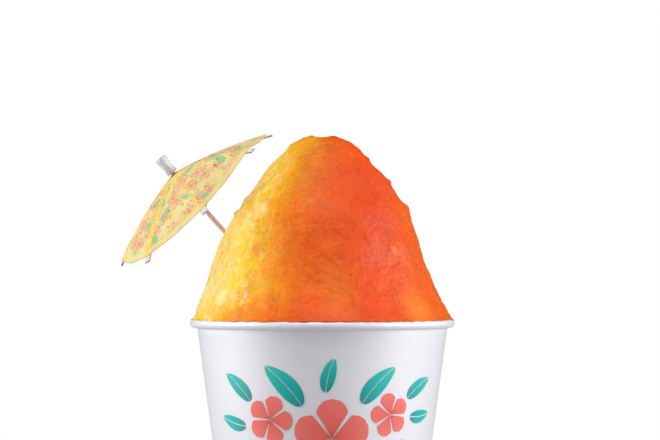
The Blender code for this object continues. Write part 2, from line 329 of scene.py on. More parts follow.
def skin_point(ring, angle):
    """A point of the rough skin, which draws in a little where it sits on the rim."""
    height, reach, middle, out, up = ring
    around = Vector((math.cos(angle), math.sin(angle), 0))
    point = Vector((middle, 0, FOOT_HEIGHT + height)) + around * reach
    fade = min(1.0, height / FOOT_BAND)
    rise = rise_at(point)
    outward = around * out + Vector((0, 0, up))
    return point + outward * rise * fade + around * rise * FOOT_WANDER * (1 - fade)


print("relief at a point of the front, in mm:", round(rise_at(Vector((0, -0.04, 0.15))) / MM, 2))


# %% [markdown]
# ## One closed body of ice
# Rings of unlike counts keep the mesh equally fine from the top to the rim, and a small
# function stitches each ring to the next. Packed snow spills over the rim's round bead, so a
# thin ragged lip lies on its upper side. Inside it the ice goes on as a plug that fills the
# cup, with few faces because the foam hides it.

# %% Stitch the rings and close the plug
# The cup's own sizes, as its solid has them, and the gap between the ice and the foam
CUP_WALL = 2.2 * MM
CUP_FLOOR = 4.0 * MM
GAP = 0.3 * MM
RIM_BEAD_HEIGHT = 4.2 * MM
BEAD_RADIUS = RIM_BEAD_HEIGHT / 2
BEAD_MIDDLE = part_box("cup")[1].x - BEAD_RADIUS
# The lip ends this far over the bead, counted from its top
LIP_DEGREES = 47
LIP_THICKNESS = 0.15 * MM
WALL_TOP_RADIUS = 55.2 * MM
BASE_RADIUS = 40.8 * MM
PLUG_STEPS = 96
LIP_STEPS = 480
LIP_WANDER = 0.3 * MM
LIP_WANDER_SIZE = 3 * MM
FEWEST_STEPS = 8


def wall_radius(height):
    """The cup's outer radius at a height, on its straight taper."""
    return BASE_RADIUS + (WALL_TOP_RADIUS - BASE_RADIUS) * height / (CUP_HEIGHT - RIM_BEAD_HEIGHT)


def on_bead(degrees, out):
    """Radius and height of a point over the rim's bead, with 0 degrees at its top."""
    angle = math.radians(degrees)
    reach = BEAD_RADIUS + out
    return BEAD_MIDDLE + reach * math.sin(angle), CUP_HEIGHT - BEAD_RADIUS + reach * math.cos(angle)


def stitch(first, upper, second, lower):
    """Triangles between two rings, given where each starts in the list of points and its count."""
    faces = []
    i = j = 0
    while i < upper or j < lower:
        top, low = first + i % upper, second + j % lower
        if j >= lower or (i < upper and (i + 0.5) / upper <= (j + 0.5) / lower):
            faces.append((top, low, first + (i + 1) % upper))
            i += 1
        else:
            faces.append((top, low, second + (j + 1) % lower))
            j += 1
    return faces


print("the rim's bead is", round(2 * BEAD_RADIUS / MM, 1), "mm thick")


# %% Close the mound and its plug
def make_ice():
    """The mesh of the mound and its plug."""
    points = [skin_point(rings[0], 0.0)]
    starts, counts = [], []
    for ring in rings[1:]:
        count = max(FEWEST_STEPS, round(math.tau * ring[1] / SKIN_STEP))
        starts.append(len(points))
        counts.append(count)
        points += [skin_point(ring, math.tau * i / count) for i in range(count)]
    inner = wall_radius(CUP_HEIGHT) - CUP_WALL - GAP
    floor_z = CUP_FLOOR + GAP
    floor_radius = wall_radius(floor_z) - CUP_WALL - GAP - CUP_FLOOR / 2
    lip = [on_bead(LIP_DEGREES, LIP_THICKNESS), on_bead(0, LIP_THICKNESS / 2)]
    plug = [(inner + GAP, CUP_HEIGHT + GAP / 2), (inner, CUP_HEIGHT - CUP_FLOOR)]
    plug.append((floor_radius, floor_z))
    for place, (radius, height) in enumerate(lip + plug):
        count = LIP_STEPS if place < len(lip) else PLUG_STEPS
        starts.append(len(points))
        counts.append(count)
        for i in range(count):
            angle = math.tau * i / count
            around = Vector((math.cos(angle), math.sin(angle), 0))
            ragged = noise.noise(around * radius / LIP_WANDER_SIZE) * LIP_WANDER if place == 0 else 0
            points.append(around * (radius + ragged) + Vector((0, 0, height - ragged)))
    faces = [(1 + i, 1 + (i + 1) % counts[0], 0) for i in range(counts[0])]
    for place in range(len(starts) - 1):
        faces += stitch(starts[place], counts[place], starts[place + 1], counts[place + 1])
    last = starts[-1]
    faces.append([last + i for i in reversed(range(PLUG_STEPS))])
    mesh = bpy.data.meshes.new("ice_body")
    mesh.from_pydata(points, [], faces)
    mesh.shade_smooth()
    return mesh


ice_mesh = make_ice()
ice = add_object("ice_body", ice_mesh)
print("ice triangles:", len(ice_mesh.polygons))


# %% [markdown]
# ## Syrup
# Two syrups were poured, yellow on the left and red-orange on the right, and they ran into
# each other in the middle. The colour at a point depends on how far it lies from the border
# between them. Reading that from Object coordinates paints the grains and the skin alike,
# and noise at several sizes makes the border wander as syrup does when it soaks into snow.

# %% Stops of colour, and the border between the syrups
# Each stop is a distance in mm from the border, and the colour there
SYRUP_STOPS_MM = (
    (-26, "EDD586"),
    (-17, "EECB59"),
    (-11, "F1BE33"),
    (-5, "F5AC1C"),
    (1, "F99514"),
    (9, "F8790E"),
    (17, "F7650E"),
    (27, "F65C14"),
    (38, "F2541A"),
    (52, "EA5523"),
    (66, "EA641B"),
)
# Where the border stands: a height in mm, and its x there
BORDER_MM = (
    (112, -38),
    (118, -28),
    (124, -22),
    (134, -22),
    (147, -21),
    (160, -17),
    (174, -11),
    (194, -4),
)
# The syrups blend over a wider band at the foot than at the top
SPREAD_AT_FOOT = 0.82
SPREAD_AT_TOP = 1.5
# Each wander of the border: the width of its patches in mm, their height for it, and the shift in mm
WANDERS_MM = ((15, 1.5, 16), (5, 1.8, 15), (1.8, 1.0, 15), (0.9, 1.0, 9))
print("the border runs over", BORDER_MM[-1][0] - BORDER_MM[0][0], "mm of height")

# %% Pools and spots
# Pools on the yellow side: how far the pattern is moved in mm, and the colour
POOLS_MM = ((0, "F7CA14"), (40, "FBE6A0"))
POOL_SIZE_MM = 4.0
POOL_EDGES = (0.5, 0.66)
POOL_STRENGTH = 0.65
POOLS_FADE_MM = (-4, -12)
# Spots on the front, some of them painted shade: x and height in mm, the radius, the colour and how strong
# it is
SPOTS_AND_SHADE_MM = (
    (-38.4, 123.2, 1.8, "FFE0B4", 0.8),
    (-33.3, 122.6, 1.5, "FFD2AA", 0.85),
    (-35.2, 119.8, 1.5, "FFDDA8", 0.7),
    (-44.0, 121.5, 3.2, "FFF0A8", 0.7),
    (-30.4, 131.3, 2.2, "F59A20", 0.7),
    (-33.0, 135.8, 5.6, "F8CF0A", 0.8),
    (-34.7, 144.0, 2.8, "F5D210", 0.6),
    (-27.5, 118.3, 1.5, "FFBC58", 0.7),
    (-43.0, 131.9, 1.6, "FDC24A", 0.6),
    (-46.9, 115.4, 2.2, "FAB440", 0.6),
    (-27.1, 159.8, 4.0, "FDE394", 0.7),
    (-32.1, 163.4, 2.6, "FAA838", 0.7),
    (-25.6, 154.9, 2.4, "F9BE14", 0.6),
    (-20.0, 173.3, 4.0, "FDD56A", 0.6),
    (30.8, 142.2, 1.8, "FC8C44", 0.7),
    (28.8, 170.5, 2.2, "E04424", 0.5),
    (15.0, 181.5, 1.4, "DC4325", 0.6),
    (8.2, 119.4, 7.0, "F9802C", 0.45),
    (6.0, 133.0, 8.0, "F47822", 0.35),
    (-28.1, 142.6, 3.2, "EE8C2E", 0.65),
    (-21.0, 120.5, 3.6, "DE681C", 0.5),
    (-14.5, 180.5, 3.2, "F9C860", 0.6),
    # Deeper, pinker red over the upper right: partly the syrup's colour, partly painted shade
    (20.0, 173.0, 8.0, "DE4A30", 0.4),
    (24.0, 159.0, 8.0, "E24C2E", 0.35),
    (27.0, 153.5, 8.0, "E4442C", 0.35),
    (36.0, 147.0, 6.0, "EC4A26", 0.45),
    (-9.0, 188.0, 6.0, "FFB024", 0.7),
    (-14.5, 178.5, 5.0, "FFB62C", 0.5),
    (5.0, 126.5, 7.0, "F8842A", 0.45),
    (-36.0, 113.8, 5.0, "EC8424", 0.7),
    (-29.0, 117.5, 4.0, "EA7C20", 0.6),
    (-38.0, 128.5, 4.4, "F8D012", 0.75),
    (-27.0, 127.5, 3.2, "F4B21C", 0.6),
    (41.0, 118.0, 8.0, "FC8E38", 0.65),
)
# A spot is even up to this share of its radius, and gone at this many radii
SPOT_CORE = 0.4
SPOT_END = 1.5
# Noise of this size shakes the edge of each spot, over a range of this much
RAGGED_SIZE_MM = 2.2
RAGGED_SHAKE_MM = 6
print("syrup stops:", len(SYRUP_STOPS_MM), "spots:", len(SPOTS_AND_SHADE_MM))


# %% The syrup's colour at each place
def on_front(x, z):
    """The point of the smooth mound's front at an x and a height, all in mm."""
    heights, reaches, middles, _, _ = np.array(rings)[::-1].T / MM
    above = z - FOOT_HEIGHT / MM
    reach, middle = np.interp(above, heights, reaches), np.interp(above, heights, middles)
    return x, -math.sqrt(max(0.0, reach**2 - (x - middle) ** 2)), z


def border_at(tree, height):
    """Where the border stands at a height, as a curve through its rows."""
    lowest, highest = BORDER_MM[0][0], BORDER_MM[-1][0]
    nearest, furthest = BORDER_MM[-1][1], BORDER_MM[0][1]
    share = add_node(tree, "ShaderNodeMapRange", {0: height, 1: lowest, 2: highest}).outputs[0]
    curve = add_node(tree, "ShaderNodeFloatCurve", {"Value": share})
    points = curve.mapping.curves[0].points
    shares = [
        ((z - lowest) / (highest - lowest), (x - furthest) / (nearest - furthest)) for z, x in BORDER_MM
    ]
    points[0].location, points[1].location = shares[0], shares[-1]
    for spot in shares[1:-1]:
        points.new(*spot)
    curve.mapping.update()
    feeds = {0: curve.outputs[0], 3: furthest, 4: nearest}
    return add_node(tree, "ShaderNodeMapRange", feeds).outputs[0]


def past_border(tree, in_mm):
    """How far a point lies past the wandering border, in mm of even blending."""
    x, _, height = add_node(tree, "ShaderNodeSeparateXYZ", {0: in_mm}).outputs
    feeds = {0: x, 1: border_at(tree, height)}
    away = add_node(tree, "ShaderNodeMath", feeds, operation="SUBTRACT").outputs[0]
    lowest, highest = BORDER_MM[0][0], BORDER_MM[-1][0]
    feeds = {0: height, 1: lowest, 2: highest, 3: SPREAD_AT_FOOT, 4: SPREAD_AT_TOP}
    sharper = add_node(tree, "ShaderNodeMapRange", feeds).outputs[0]
    away = add_node(tree, "ShaderNodeMath", {0: away, 1: sharper}, operation="MULTIPLY").outputs[0]
    for size, tall, shift in WANDERS_MM:
        squeeze = add_node(tree, "ShaderNodeMapping", {0: in_mm, "Scale": (1, 1, 1 / tall)}).outputs[0]
        feeds = {"Vector": squeeze, "Scale": 1 / size, "Detail": 2}
        patches = add_node(tree, "ShaderNodeTexNoise", feeds).outputs[0]
        feeds = {0: patches, 1: shift, 2: -shift / 2}
        sway = add_node(tree, "ShaderNodeMath", feeds, operation="MULTIPLY_ADD").outputs[0]
        away = add_node(tree, "ShaderNodeMath", {0: away, 1: sway}, operation="ADD").outputs[0]
    return away


def syrup_colour(tree, in_mm):
    """Nodes that give the syrup's colour at a place, with some painted shade on the upper right."""
    away = past_border(tree, in_mm)
    start, end = SYRUP_STOPS_MM[0][0], SYRUP_STOPS_MM[-1][0]
    share = add_node(tree, "ShaderNodeMapRange", {0: away, 1: start, 2: end}).outputs[0]
    stops = [((reach - start) / (end - start), hex_colour) for reach, hex_colour in SYRUP_STOPS_MM]
    colour = fill_ramp(add_node(tree, "ShaderNodeValToRGB", {0: share}), stops)
    feeds = {0: away, 1: POOLS_FADE_MM[0], 2: POOLS_FADE_MM[1]}
    on_yellow = add_node(tree, "ShaderNodeMapRange", feeds).outputs[0]
    for shift, hex_colour in POOLS_MM:
        feeds = {0: in_mm, 1: (shift, 0, 0)}
        moved = add_node(tree, "ShaderNodeVectorMath", feeds, operation="ADD").outputs[0]
        feeds = {"Vector": moved, "Scale": 1 / POOL_SIZE_MM, "Detail": 3}
        pools = add_node(tree, "ShaderNodeTexNoise", feeds).outputs[0]
        feeds = {0: pools, 1: POOL_EDGES[0], 2: POOL_EDGES[1], 4: POOL_STRENGTH}
        there = add_node(tree, "ShaderNodeMapRange", feeds).outputs[0]
        feeds = {0: there, 1: on_yellow}
        share = add_node(tree, "ShaderNodeMath", feeds, operation="MULTIPLY").outputs[0]
        feeds = {0: share, 6: colour, 7: screen(hex_colour)}
        colour = add_node(tree, "ShaderNodeMix", feeds, data_type="RGBA").outputs[2]
    feeds = {"Vector": in_mm, "Scale": 1 / RAGGED_SIZE_MM, "Detail": 2}
    ragged = add_node(tree, "ShaderNodeTexNoise", feeds).outputs[1]
    feeds = {0: ragged, 1: (RAGGED_SHAKE_MM,) * 3, 2: in_mm}
    shaken = add_node(tree, "ShaderNodeVectorMath", feeds, operation="MULTIPLY_ADD").outputs[0]
    for x, z, radius, hex_colour, strength in SPOTS_AND_SHADE_MM:
        centre = [value + RAGGED_SHAKE_MM / 2 for value in on_front(x, z)]
        feeds = {0: shaken, 1: centre}
        reach = add_node(tree, "ShaderNodeVectorMath", feeds, operation="DISTANCE").outputs["Value"]
        feeds = {0: reach, 1: radius * SPOT_CORE, 2: radius * SPOT_END, 3: strength, 4: 0}
        there = add_node(tree, "ShaderNodeMapRange", feeds).outputs[0]
        feeds = {0: there, 6: colour, 7: screen(hex_colour)}
        colour = add_node(tree, "ShaderNodeMix", feeds, data_type="RGBA").outputs[2]
    return colour


print("a spot on the front lies at, in mm:", [round(value) for value in on_front(*SPOTS_AND_SHADE_MM[0][:2])])


# %% [markdown]
# ## The finish of soaked snow
# Each grain is clear ice with a film of syrup. Together they scatter light a few millimetres
# deep, so the surface looks soft and almost matt, with darker syrup in the hollows and paler
# frost on what stands out. Subsurface scattering gives the depth. The frost and the hollows
# come from noise of grain size, and ice has an index of refraction of 1.31.

# %% Syrup-soaked ice
ICE_IOR = 1.31
FROST_COLOUR = "FFC070"
FROST_SIZE_MM = 1.1
# How high the noise of the grains is where frost starts and where it is full
FROST_EDGES = (0.52, 0.75)
# The same where a hollow is deepest and where it ends, and how dark its syrup is
HOLLOW_EDGES = (0.25, 0.5)
HOLLOW_SHADE = 0.95
PATCH_SIZE_MM = 7.0
PATCH_EDGES = (0.3, 0.7)
PATCH_SHADES = (0.94, 1.05)
# Painted shade: the ice's colour is darkened a little at the foot and more towards the top
PAINTED_SHADE_AT_FOOT = 0.96
PAINTED_SHADE_AT_TOP = 0.84
LIGHT_DEPTH = 4.0 * MM
# Red light goes deepest into the ice, then green, then blue
LIGHT_REACH = (1.0, 0.6, 0.3)


def place_in_mm(tree):
    """Object coordinates, counted in millimetres."""
    place = add_node(tree, "ShaderNodeTexCoord").outputs["Object"]
    feeds = {0: place, "Scale": 1 / MM}
    return add_node(tree, "ShaderNodeVectorMath", feeds, operation="SCALE").outputs[0]


def colour_and_bump(tree, shader, colour, height, strength, depth):
    """Gives a shader its colour, and the fine relief of a height that bumps this deep."""
    feeds = {"Height": height, "Strength": strength, "Distance": depth}
    bump = add_node(tree, "ShaderNodeBump", feeds).outputs[0]
    feed(shader, {"Base Color": colour, "Normal": bump})


def soaked_ice(name, roughness, frost, scatter):
    """Ice with syrup in it. Frost pales its highest grains, and scatter lets light into it."""
    material, tree, shader = new_finish(name, roughness, ICE_IOR)
    in_mm = place_in_mm(tree)
    feeds = {"Vector": in_mm, "Scale": 1 / FROST_SIZE_MM, "Detail": 3, "Roughness": 0.6}
    grit = add_node(tree, "ShaderNodeTexNoise", feeds).outputs[0]
    feeds = {0: grit, 1: FROST_EDGES[0], 2: FROST_EDGES[1], 3: 0.0, 4: frost}
    pale = add_node(tree, "ShaderNodeMapRange", feeds).outputs[0]
    feeds = {0: pale, 6: syrup_colour(tree, in_mm), 7: screen(FROST_COLOUR)}
    frosted = add_node(tree, "ShaderNodeMix", feeds, data_type="RGBA").outputs[2]
    feeds = {0: grit, 1: HOLLOW_EDGES[0], 2: HOLLOW_EDGES[1], 3: HOLLOW_SHADE, 4: 1.0}
    hollows = add_node(tree, "ShaderNodeMapRange", feeds).outputs[0]
    feeds = {"Vector": in_mm, "Scale": 1 / PATCH_SIZE_MM, "Detail": 2}
    patches = add_node(tree, "ShaderNodeTexNoise", feeds).outputs[0]
    feeds = {0: patches, 1: PATCH_EDGES[0], 2: PATCH_EDGES[1], 3: PATCH_SHADES[0], 4: PATCH_SHADES[1]}
    drift = add_node(tree, "ShaderNodeMapRange", feeds).outputs[0]
    # Painted shade that darkens the ice towards the top
    height = add_node(tree, "ShaderNodeSeparateXYZ", {0: in_mm}).outputs[2]
    lowest, highest = CUP_HEIGHT / MM, cad_box[1].z / MM
    feeds = {0: height, 1: lowest, 2: highest, 3: PAINTED_SHADE_AT_FOOT, 4: PAINTED_SHADE_AT_TOP}
    depth = add_node(tree, "ShaderNodeMapRange", feeds).outputs[0]
    shade = hollows
    for more in (drift, depth):
        shade = add_node(tree, "ShaderNodeMath", {0: shade, 1: more}, operation="MULTIPLY").outputs[0]
    feeds = {0: frosted, "Scale": shade}
    soaked = add_node(tree, "ShaderNodeVectorMath", feeds, operation="SCALE").outputs[0]
    colour_and_bump(tree, shader, soaked, grit, strength=0.3, depth=0.15 * MM)
    shader.subsurface_method = "BURLEY"
    feeds = {"Subsurface Weight": scatter, "Subsurface Radius": LIGHT_REACH}
    feed(shader, {**feeds, "Subsurface Scale": LIGHT_DEPTH})
    return material


packed_snow = soaked_ice("packed_snow_with_syrup", roughness=0.5, frost=0.06, scatter=0.9)
ice_mesh.materials.append(packed_snow)
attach(ice, "root")
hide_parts("shaved_ice")
print("materials on the ice:", [material.name for material in ice_mesh.materials])


# %% [markdown]
# ## Loose grains
# Flakes from the shaver lie nearly flat on the packed snow, half sunk. There are thousands,
# so a Geometry Nodes tree scatters them: points on the skin above the rim, a small squashed
# ball on each, laid along the skin, spun and tipped at random, then made real so that they
# can be exported. Light passes through such thin flakes, so they throw no shadow.

# %% A tree that scatters flakes of ice
GRAINS_PER_MM2 = 0.24
SMALLEST_GRAIN_MM = (0.2, 0.2, 0.07)
LARGEST_GRAIN_MM = (0.55, 0.45, 0.16)
# How far over the rim the lowest flake lies
LOWEST_GRAIN = 1.2 * MM
MOST_TIP = math.radians(12)
GRAIN_SEED = 11
TURN_SEED = 5


def grain_tree():
    """Geometry Nodes that turn a skin into the loose grains on it."""
    tree = bpy.data.node_groups.new("scatter_grains", "GeometryNodeTree")
    kinds = {
        "Skin": "NodeSocketGeometry",
        "Grains per square metre": "NodeSocketFloat",
        "Smallest grain": "NodeSocketVector",
        "Largest grain": "NodeSocketVector",
        "Lowest place": "NodeSocketFloat",
        "Seed": "NodeSocketInt",
        "Finish": "NodeSocketMaterial",
    }
    for name, kind in kinds.items():
        tree.interface.new_socket(name=name, in_out="INPUT", socket_type=kind)
    tree.interface.new_socket(name="Grains", in_out="OUTPUT", socket_type="NodeSocketGeometry")
    given = add_node(tree, "NodeGroupInput").outputs
    place = add_node(tree, "GeometryNodeInputPosition").outputs[0]
    height = add_node(tree, "ShaderNodeSeparateXYZ", {0: place}).outputs[2]
    feeds = {0: height, 1: given["Lowest place"]}
    above = add_node(tree, "FunctionNodeCompare", feeds, operation="GREATER_THAN").outputs[0]
    feeds = {0: given["Skin"], 1: above, "Density": given["Grains per square metre"]}
    feeds["Seed"] = given["Seed"]
    points, _, lying = add_node(tree, "GeometryNodeDistributePointsOnFaces", feeds).outputs
    flake = add_node(tree, "GeometryNodeMeshIcoSphere", {0: 1.0, 1: 1}).outputs[0]
    feeds = {0: given["Smallest grain"], 1: given["Largest grain"], "Seed": given["Seed"]}
    size = add_node(tree, "FunctionNodeRandomValue", feeds, data_type="FLOAT_VECTOR").outputs[0]
    feeds = {0: (-MOST_TIP, -MOST_TIP, 0), 1: (MOST_TIP, MOST_TIP, math.tau), "Seed": TURN_SEED}
    turn = add_node(tree, "FunctionNodeRandomValue", feeds, data_type="FLOAT_VECTOR").outputs[0]
    feeds = {0: lying, 1: turn}
    laid = add_node(tree, "FunctionNodeRotateRotation", feeds, rotation_space="LOCAL").outputs[0]
    feeds = {0: points, "Instance": flake, "Rotation": laid, "Scale": size}
    flakes = add_node(tree, "GeometryNodeInstanceOnPoints", feeds).outputs[0]
    real = add_node(tree, "GeometryNodeRealizeInstances", {0: flakes}).outputs[0]
    soft = add_node(tree, "GeometryNodeSetShadeSmooth", {0: real}).outputs[0]
    done = add_node(tree, "GeometryNodeSetMaterial", {0: soft, "Material": given["Finish"]}).outputs[0]
    add_node(tree, "NodeGroupOutput", {0: done})
    return tree


print("the largest flake is", 2 * LARGEST_GRAIN_MM[0], "mm long")


# %% Run the tree on the mound
def make_plain(piece):
    """Turns what a piece's modifiers make of it into its plain mesh, and takes them off."""
    shaped = piece.evaluated_get(bpy.context.evaluated_depsgraph_get())
    piece.data = bpy.data.meshes.new_from_object(shaped)
    piece.modifiers.clear()


def grow(name, mesh, tree, values):
    """Runs a tree on a mesh with these input values and returns the result as a plain piece."""
    piece = add_object(name, mesh)
    modifier = piece.modifiers.new("Tree", "NODES")
    modifier.node_group = tree
    for socket in tree.interface.items_tree:
        if socket.in_out == "INPUT" and socket.name in values:
            modifier[socket.identifier] = values[socket.name]
    make_plain(piece)
    piece.data.name = name
    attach(piece, "root")
    return piece


# Loose flakes get more frost than packed snow: partly paler loose snow, partly painted light that lifts
# their shaded sides
loose_snow = soaked_ice("loose_snow_grains", roughness=0.5, frost=0.2, scatter=0.0)
grain_values = {
    "Grains per square metre": GRAINS_PER_MM2 / MM**2,
    "Smallest grain": [size * MM for size in SMALLEST_GRAIN_MM],
    "Largest grain": [size * MM for size in LARGEST_GRAIN_MM],
    "Lowest place": CUP_HEIGHT + LOWEST_GRAIN,
    "Seed": GRAIN_SEED,
    "Finish": loose_snow,
}
grains = grow("ice_grains", ice_mesh, grain_tree(), grain_values)
grains.visible_shadow = False
print("grain triangles:", len(grains.data.polygons))


# %% [markdown]
# ## Foam
# The cup is moulded from small beads of polystyrene that swell and press together. That
# leaves faint polygons a couple of millimetres wide under a matt, slightly silky skin. The
# solid has the right wall, rim and foot but loose flat triangles, which show as stripes on a
# silky wall. So a copy of its mesh is merged and shaded smooth, with sharp edges kept.
# %% Moulded bead foam
BEAD_SIZE_MM = 2.3
SEAM_SHARE_OF_BEAD = 0.12
BEAD_SHARE_OF_RELIEF = 0.35
# The skin's own grain is finer, and is drawn coarse enough to show
SKIN_GRAIN_MM = 0.45
FOAM_WHITES = ("ECEBF2", "F5F4F9")
MERGE_DISTANCE = 0.01 * MM
SHARP_DEGREES = 50

foam, tree, shader = new_finish("moulded_bead_foam", roughness=0.45, ior=1.5)
in_mm = place_in_mm(tree)
feeds = {"Vector": in_mm, "Scale": 1 / BEAD_SIZE_MM}
beads = add_node(tree, "ShaderNodeTexVoronoi", feeds, feature="DISTANCE_TO_EDGE").outputs["Distance"]
seams = add_node(tree, "ShaderNodeMapRange", {0: beads, 1: 0.0, 2: SEAM_SHARE_OF_BEAD}).outputs[0]
feeds = {"Vector": in_mm, "Scale": 1 / SKIN_GRAIN_MM, "Detail": 2}
fine = add_node(tree, "ShaderNodeTexNoise", feeds).outputs[0]
feeds = {0: seams, 1: BEAD_SHARE_OF_RELIEF, 2: fine}
relief = add_node(tree, "ShaderNodeMath", feeds, operation="MULTIPLY_ADD").outputs[0]
feeds = {0: fine, 6: screen(FOAM_WHITES[0]), 7: screen(FOAM_WHITES[1])}
tone = add_node(tree, "ShaderNodeMix", feeds, data_type="RGBA").outputs[2]
colour_and_bump(tree, shader, tone, relief, strength=0.35, depth=0.06 * MM)
feed(shader, {"Specular IOR Level": 1.0, "Coat Weight": 0.8, "Coat Roughness": 0.4})
print("foam beads across the cup:", round(2 * WALL_TOP_RADIUS / MM / BEAD_SIZE_MM))


# %% The cup, merged and smooth
def smooth_copy(name, node, material):
    """A piece that takes a round solid's place: the same mesh, merged and shaded smooth."""
    mesh = nodes[node].data.copy()
    mesh.name = name
    mesh.attributes.remove(mesh.attributes["custom_normal"])
    bm = bmesh.new()
    bm.from_mesh(mesh)
    bmesh.ops.remove_doubles(bm, verts=bm.verts, dist=MERGE_DISTANCE)
    bm.to_mesh(mesh)
    bm.free()
    mesh.shade_smooth()
    mesh.set_sharp_from_angle(angle=math.radians(SHARP_DEGREES))
    mesh.materials.clear()
    mesh.materials.append(material)
    piece = add_object(name, mesh)
    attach(piece, "root")
    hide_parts(node)


smooth_copy("foam_cup", "cup", foam)


# %% [markdown]
# ## Print on the cup
# A spray of coral blossoms and teal leaves is printed on the front of the cup. Print is a
# film of ink, so each petal and each half leaf is a thin curved patch laid on the tapered
# wall. One function makes them all from a length, a width and the shape of the edge.

# %% Petals and leaves as films of ink
# How far the outside of the ink stands out from the wall
INK_PROUD = 0.12 * MM
INK_THICKNESS = 0.06 * MM
SAME_POINT = 0.001 * MM
PRINT_MIDDLE = 70 * MM
PRINT_TURN = math.radians(5)
BLADE_ROWS = 20
BLADE_COLUMNS = 6
LEAF_GAP = 0.5 * MM
PETAL_START = 0.25 * MM
PETAL_COUNT = 5
PETAL_SPREAD = 0.62
PETAL_BREADTH = 0.45
LEAF_BREADTH = 0.5
LEAF_ROOT = 0.6
LEAF_TIP = 0.75
LEAF_FULLNESS = 0.95


def heading(degrees):
    """The direction on the flat print for a turn, with 0 to the right and 90 up."""
    return Vector((math.cos(math.radians(degrees)), math.sin(math.radians(degrees))))


def on_wall(across, up):
    """A point of ink on the wall: across runs round the cup from the middle of the print."""
    radius = wall_radius(up) + INK_PROUD
    angle = PRINT_TURN + across / wall_radius(PRINT_MIDDLE)
    return Vector((radius * math.sin(angle), -radius * math.cos(angle), up))


def petal_edge(share):
    """Half the width of a petal at a share of its length: straight at the root, round at the end."""
    return min(PETAL_SPREAD * share, PETAL_BREADTH * math.sqrt(max(0.0, 1 - share**4)))


def leaf_edge(share):
    """Half the width of a leaf, which ends in a point."""
    return share**LEAF_ROOT * (1 - share) ** LEAF_TIP * LEAF_FULLNESS


def add_blade(bm, root, turn, length, width, edge, bend=0.0, sides=(-1, 1)):
    """A patch of ink from its root outwards. Turn is its heading, and bend curves its middle line."""
    layer = bm.verts.layers.float["share"]
    along = heading(turn)
    aside = Vector((-along.y, along.x))
    rows = []
    for i in range(BLADE_ROWS + 1):
        share = i / BLADE_ROWS
        middle = Vector(root) + along * length * share + aside * bend * share * share
        row = []
        for j in range(BLADE_COLUMNS + 1):
            side = sides[0] + (sides[1] - sides[0]) * j / BLADE_COLUMNS
            spot = middle + aside * side * width * edge(share)
            vert = bm.verts.new(on_wall(spot.x, spot.y))
            vert[layer] = share
            row.append(vert)
        rows.append(row)
    for first, second in zip(rows, rows[1:]):
        for j in range(BLADE_COLUMNS):
            bm.faces.new((first[j], second[j], second[j + 1], first[j + 1]))


print("points in a petal or half leaf:", (BLADE_ROWS + 1) * (BLADE_COLUMNS + 1))


# %% A film of ink from a list of blades
def print_piece(name, blades, material):
    """Makes one piece of ink from a list of blades."""
    bm = bmesh.new()
    bm.verts.layers.float.new("share")
    for blade in blades:
        add_blade(bm, **blade)
    bmesh.ops.remove_doubles(bm, verts=bm.verts, dist=SAME_POINT)
    bmesh.ops.recalc_face_normals(bm, faces=bm.faces)
    for face in bm.faces:
        outwards = Vector((face.calc_center_median().x, face.calc_center_median().y, 0))
        if face.normal.dot(outwards) < 0:
            face.normal_flip()
    mesh = bpy.data.meshes.new(name)
    bm.to_mesh(mesh)
    bm.free()
    piece = add_object(name, mesh)
    film = piece.modifiers.new("Film", "SOLIDIFY")
    film.thickness = INK_THICKNESS
    film.offset = -1
    make_plain(piece)
    piece.data.materials.append(material)
    piece.data.shade_smooth()
    piece.data.set_sharp_from_angle(angle=math.radians(SHARP_DEGREES))
    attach(piece, "root")


def ink(name, stops):
    """Matt ink whose colour changes from the root of a blade to its end."""
    material, tree, shader = new_finish(name, roughness=0.5)
    share = add_node(tree, "ShaderNodeAttribute", attribute_name="share").outputs["Fac"]
    feed(shader, {"Base Color": fill_ramp(add_node(tree, "ShaderNodeValToRGB", {0: share}), stops)})
    return material


print("film thickness in mm:", round(INK_THICKNESS / MM, 2))

# %% The spray of blossoms and leaves
# Each blossom: its centre across and up in mm, the length of its petals, and how far it is turned
BLOSSOMS_MM = ((0, 61, 17, 90), (-28, 69, 10.5, 70), (27, 71, 9.5, 105))
petals = []
for across, up, length, turn in BLOSSOMS_MM:
    for number in range(PETAL_COUNT):
        aim = turn + 360 / PETAL_COUNT * number
        out = heading(aim) * PETAL_START
        petal = {"root": (across * MM + out.x, up * MM + out.y), "turn": aim, "length": length * MM}
        petals.append({**petal, "width": length * MM, "edge": petal_edge})
coral_ink = ink("coral_ink", ((0.0, "D64A42"), (0.22, "F66A60"), (1.0, "FF8074")))
print_piece("printed_blossoms", petals, coral_ink)

# Each leaf: its root across and up in mm, its turn, its length and how far its tip bends
LEAVES_MM = (
    (-13, 75, 122, 23, 4),
    (13, 76, 58, 21, -4),
    (-3, 81, 84, 15, -2),
    (-37, 77, 128, 17, 3),
    (-41, 66, 178, 15, -3),
    (36, 78, 42, 16, -3),
    (39, 70, 352, 14, 3),
    (-20, 55, 236, 19, 3),
    (20, 55, 302, 19, -3),
    (-34, 58, 205, 15, 3),
    (33, 59, 332, 15, -3),
)
half_leaves = []
for across, up, turn, length, bend in LEAVES_MM:
    aside = Vector((-heading(turn).y, heading(turn).x))
    for side in (-1, 1):
        slit = aside * side * LEAF_GAP / 2
        leaf = {"root": (across * MM + slit.x, up * MM + slit.y), "turn": turn, "length": length * MM}
        leaf.update(width=length * LEAF_BREADTH * MM, edge=leaf_edge, bend=bend * MM, sides=(0, side))
        half_leaves.append(leaf)
teal_ink = ink("teal_ink", ((0.0, "06979A"), (0.35, "08B5AE"), (1.0, "1CCFC6")))
print_piece("printed_leaves", half_leaves, teal_ink)
print("petals:", len(petals), "half leaves:", len(half_leaves))


# %% [markdown]
# ## The umbrella's own frame
# The umbrella leans out to the left and nods a little towards the viewer. Everything on it
# is easiest to place along its stick, so points are worked out with the stick upright and
# one matrix brings them to where the solids are. The ribs are not quite evenly spaced, as on
# any umbrella made by hand from card and paper.

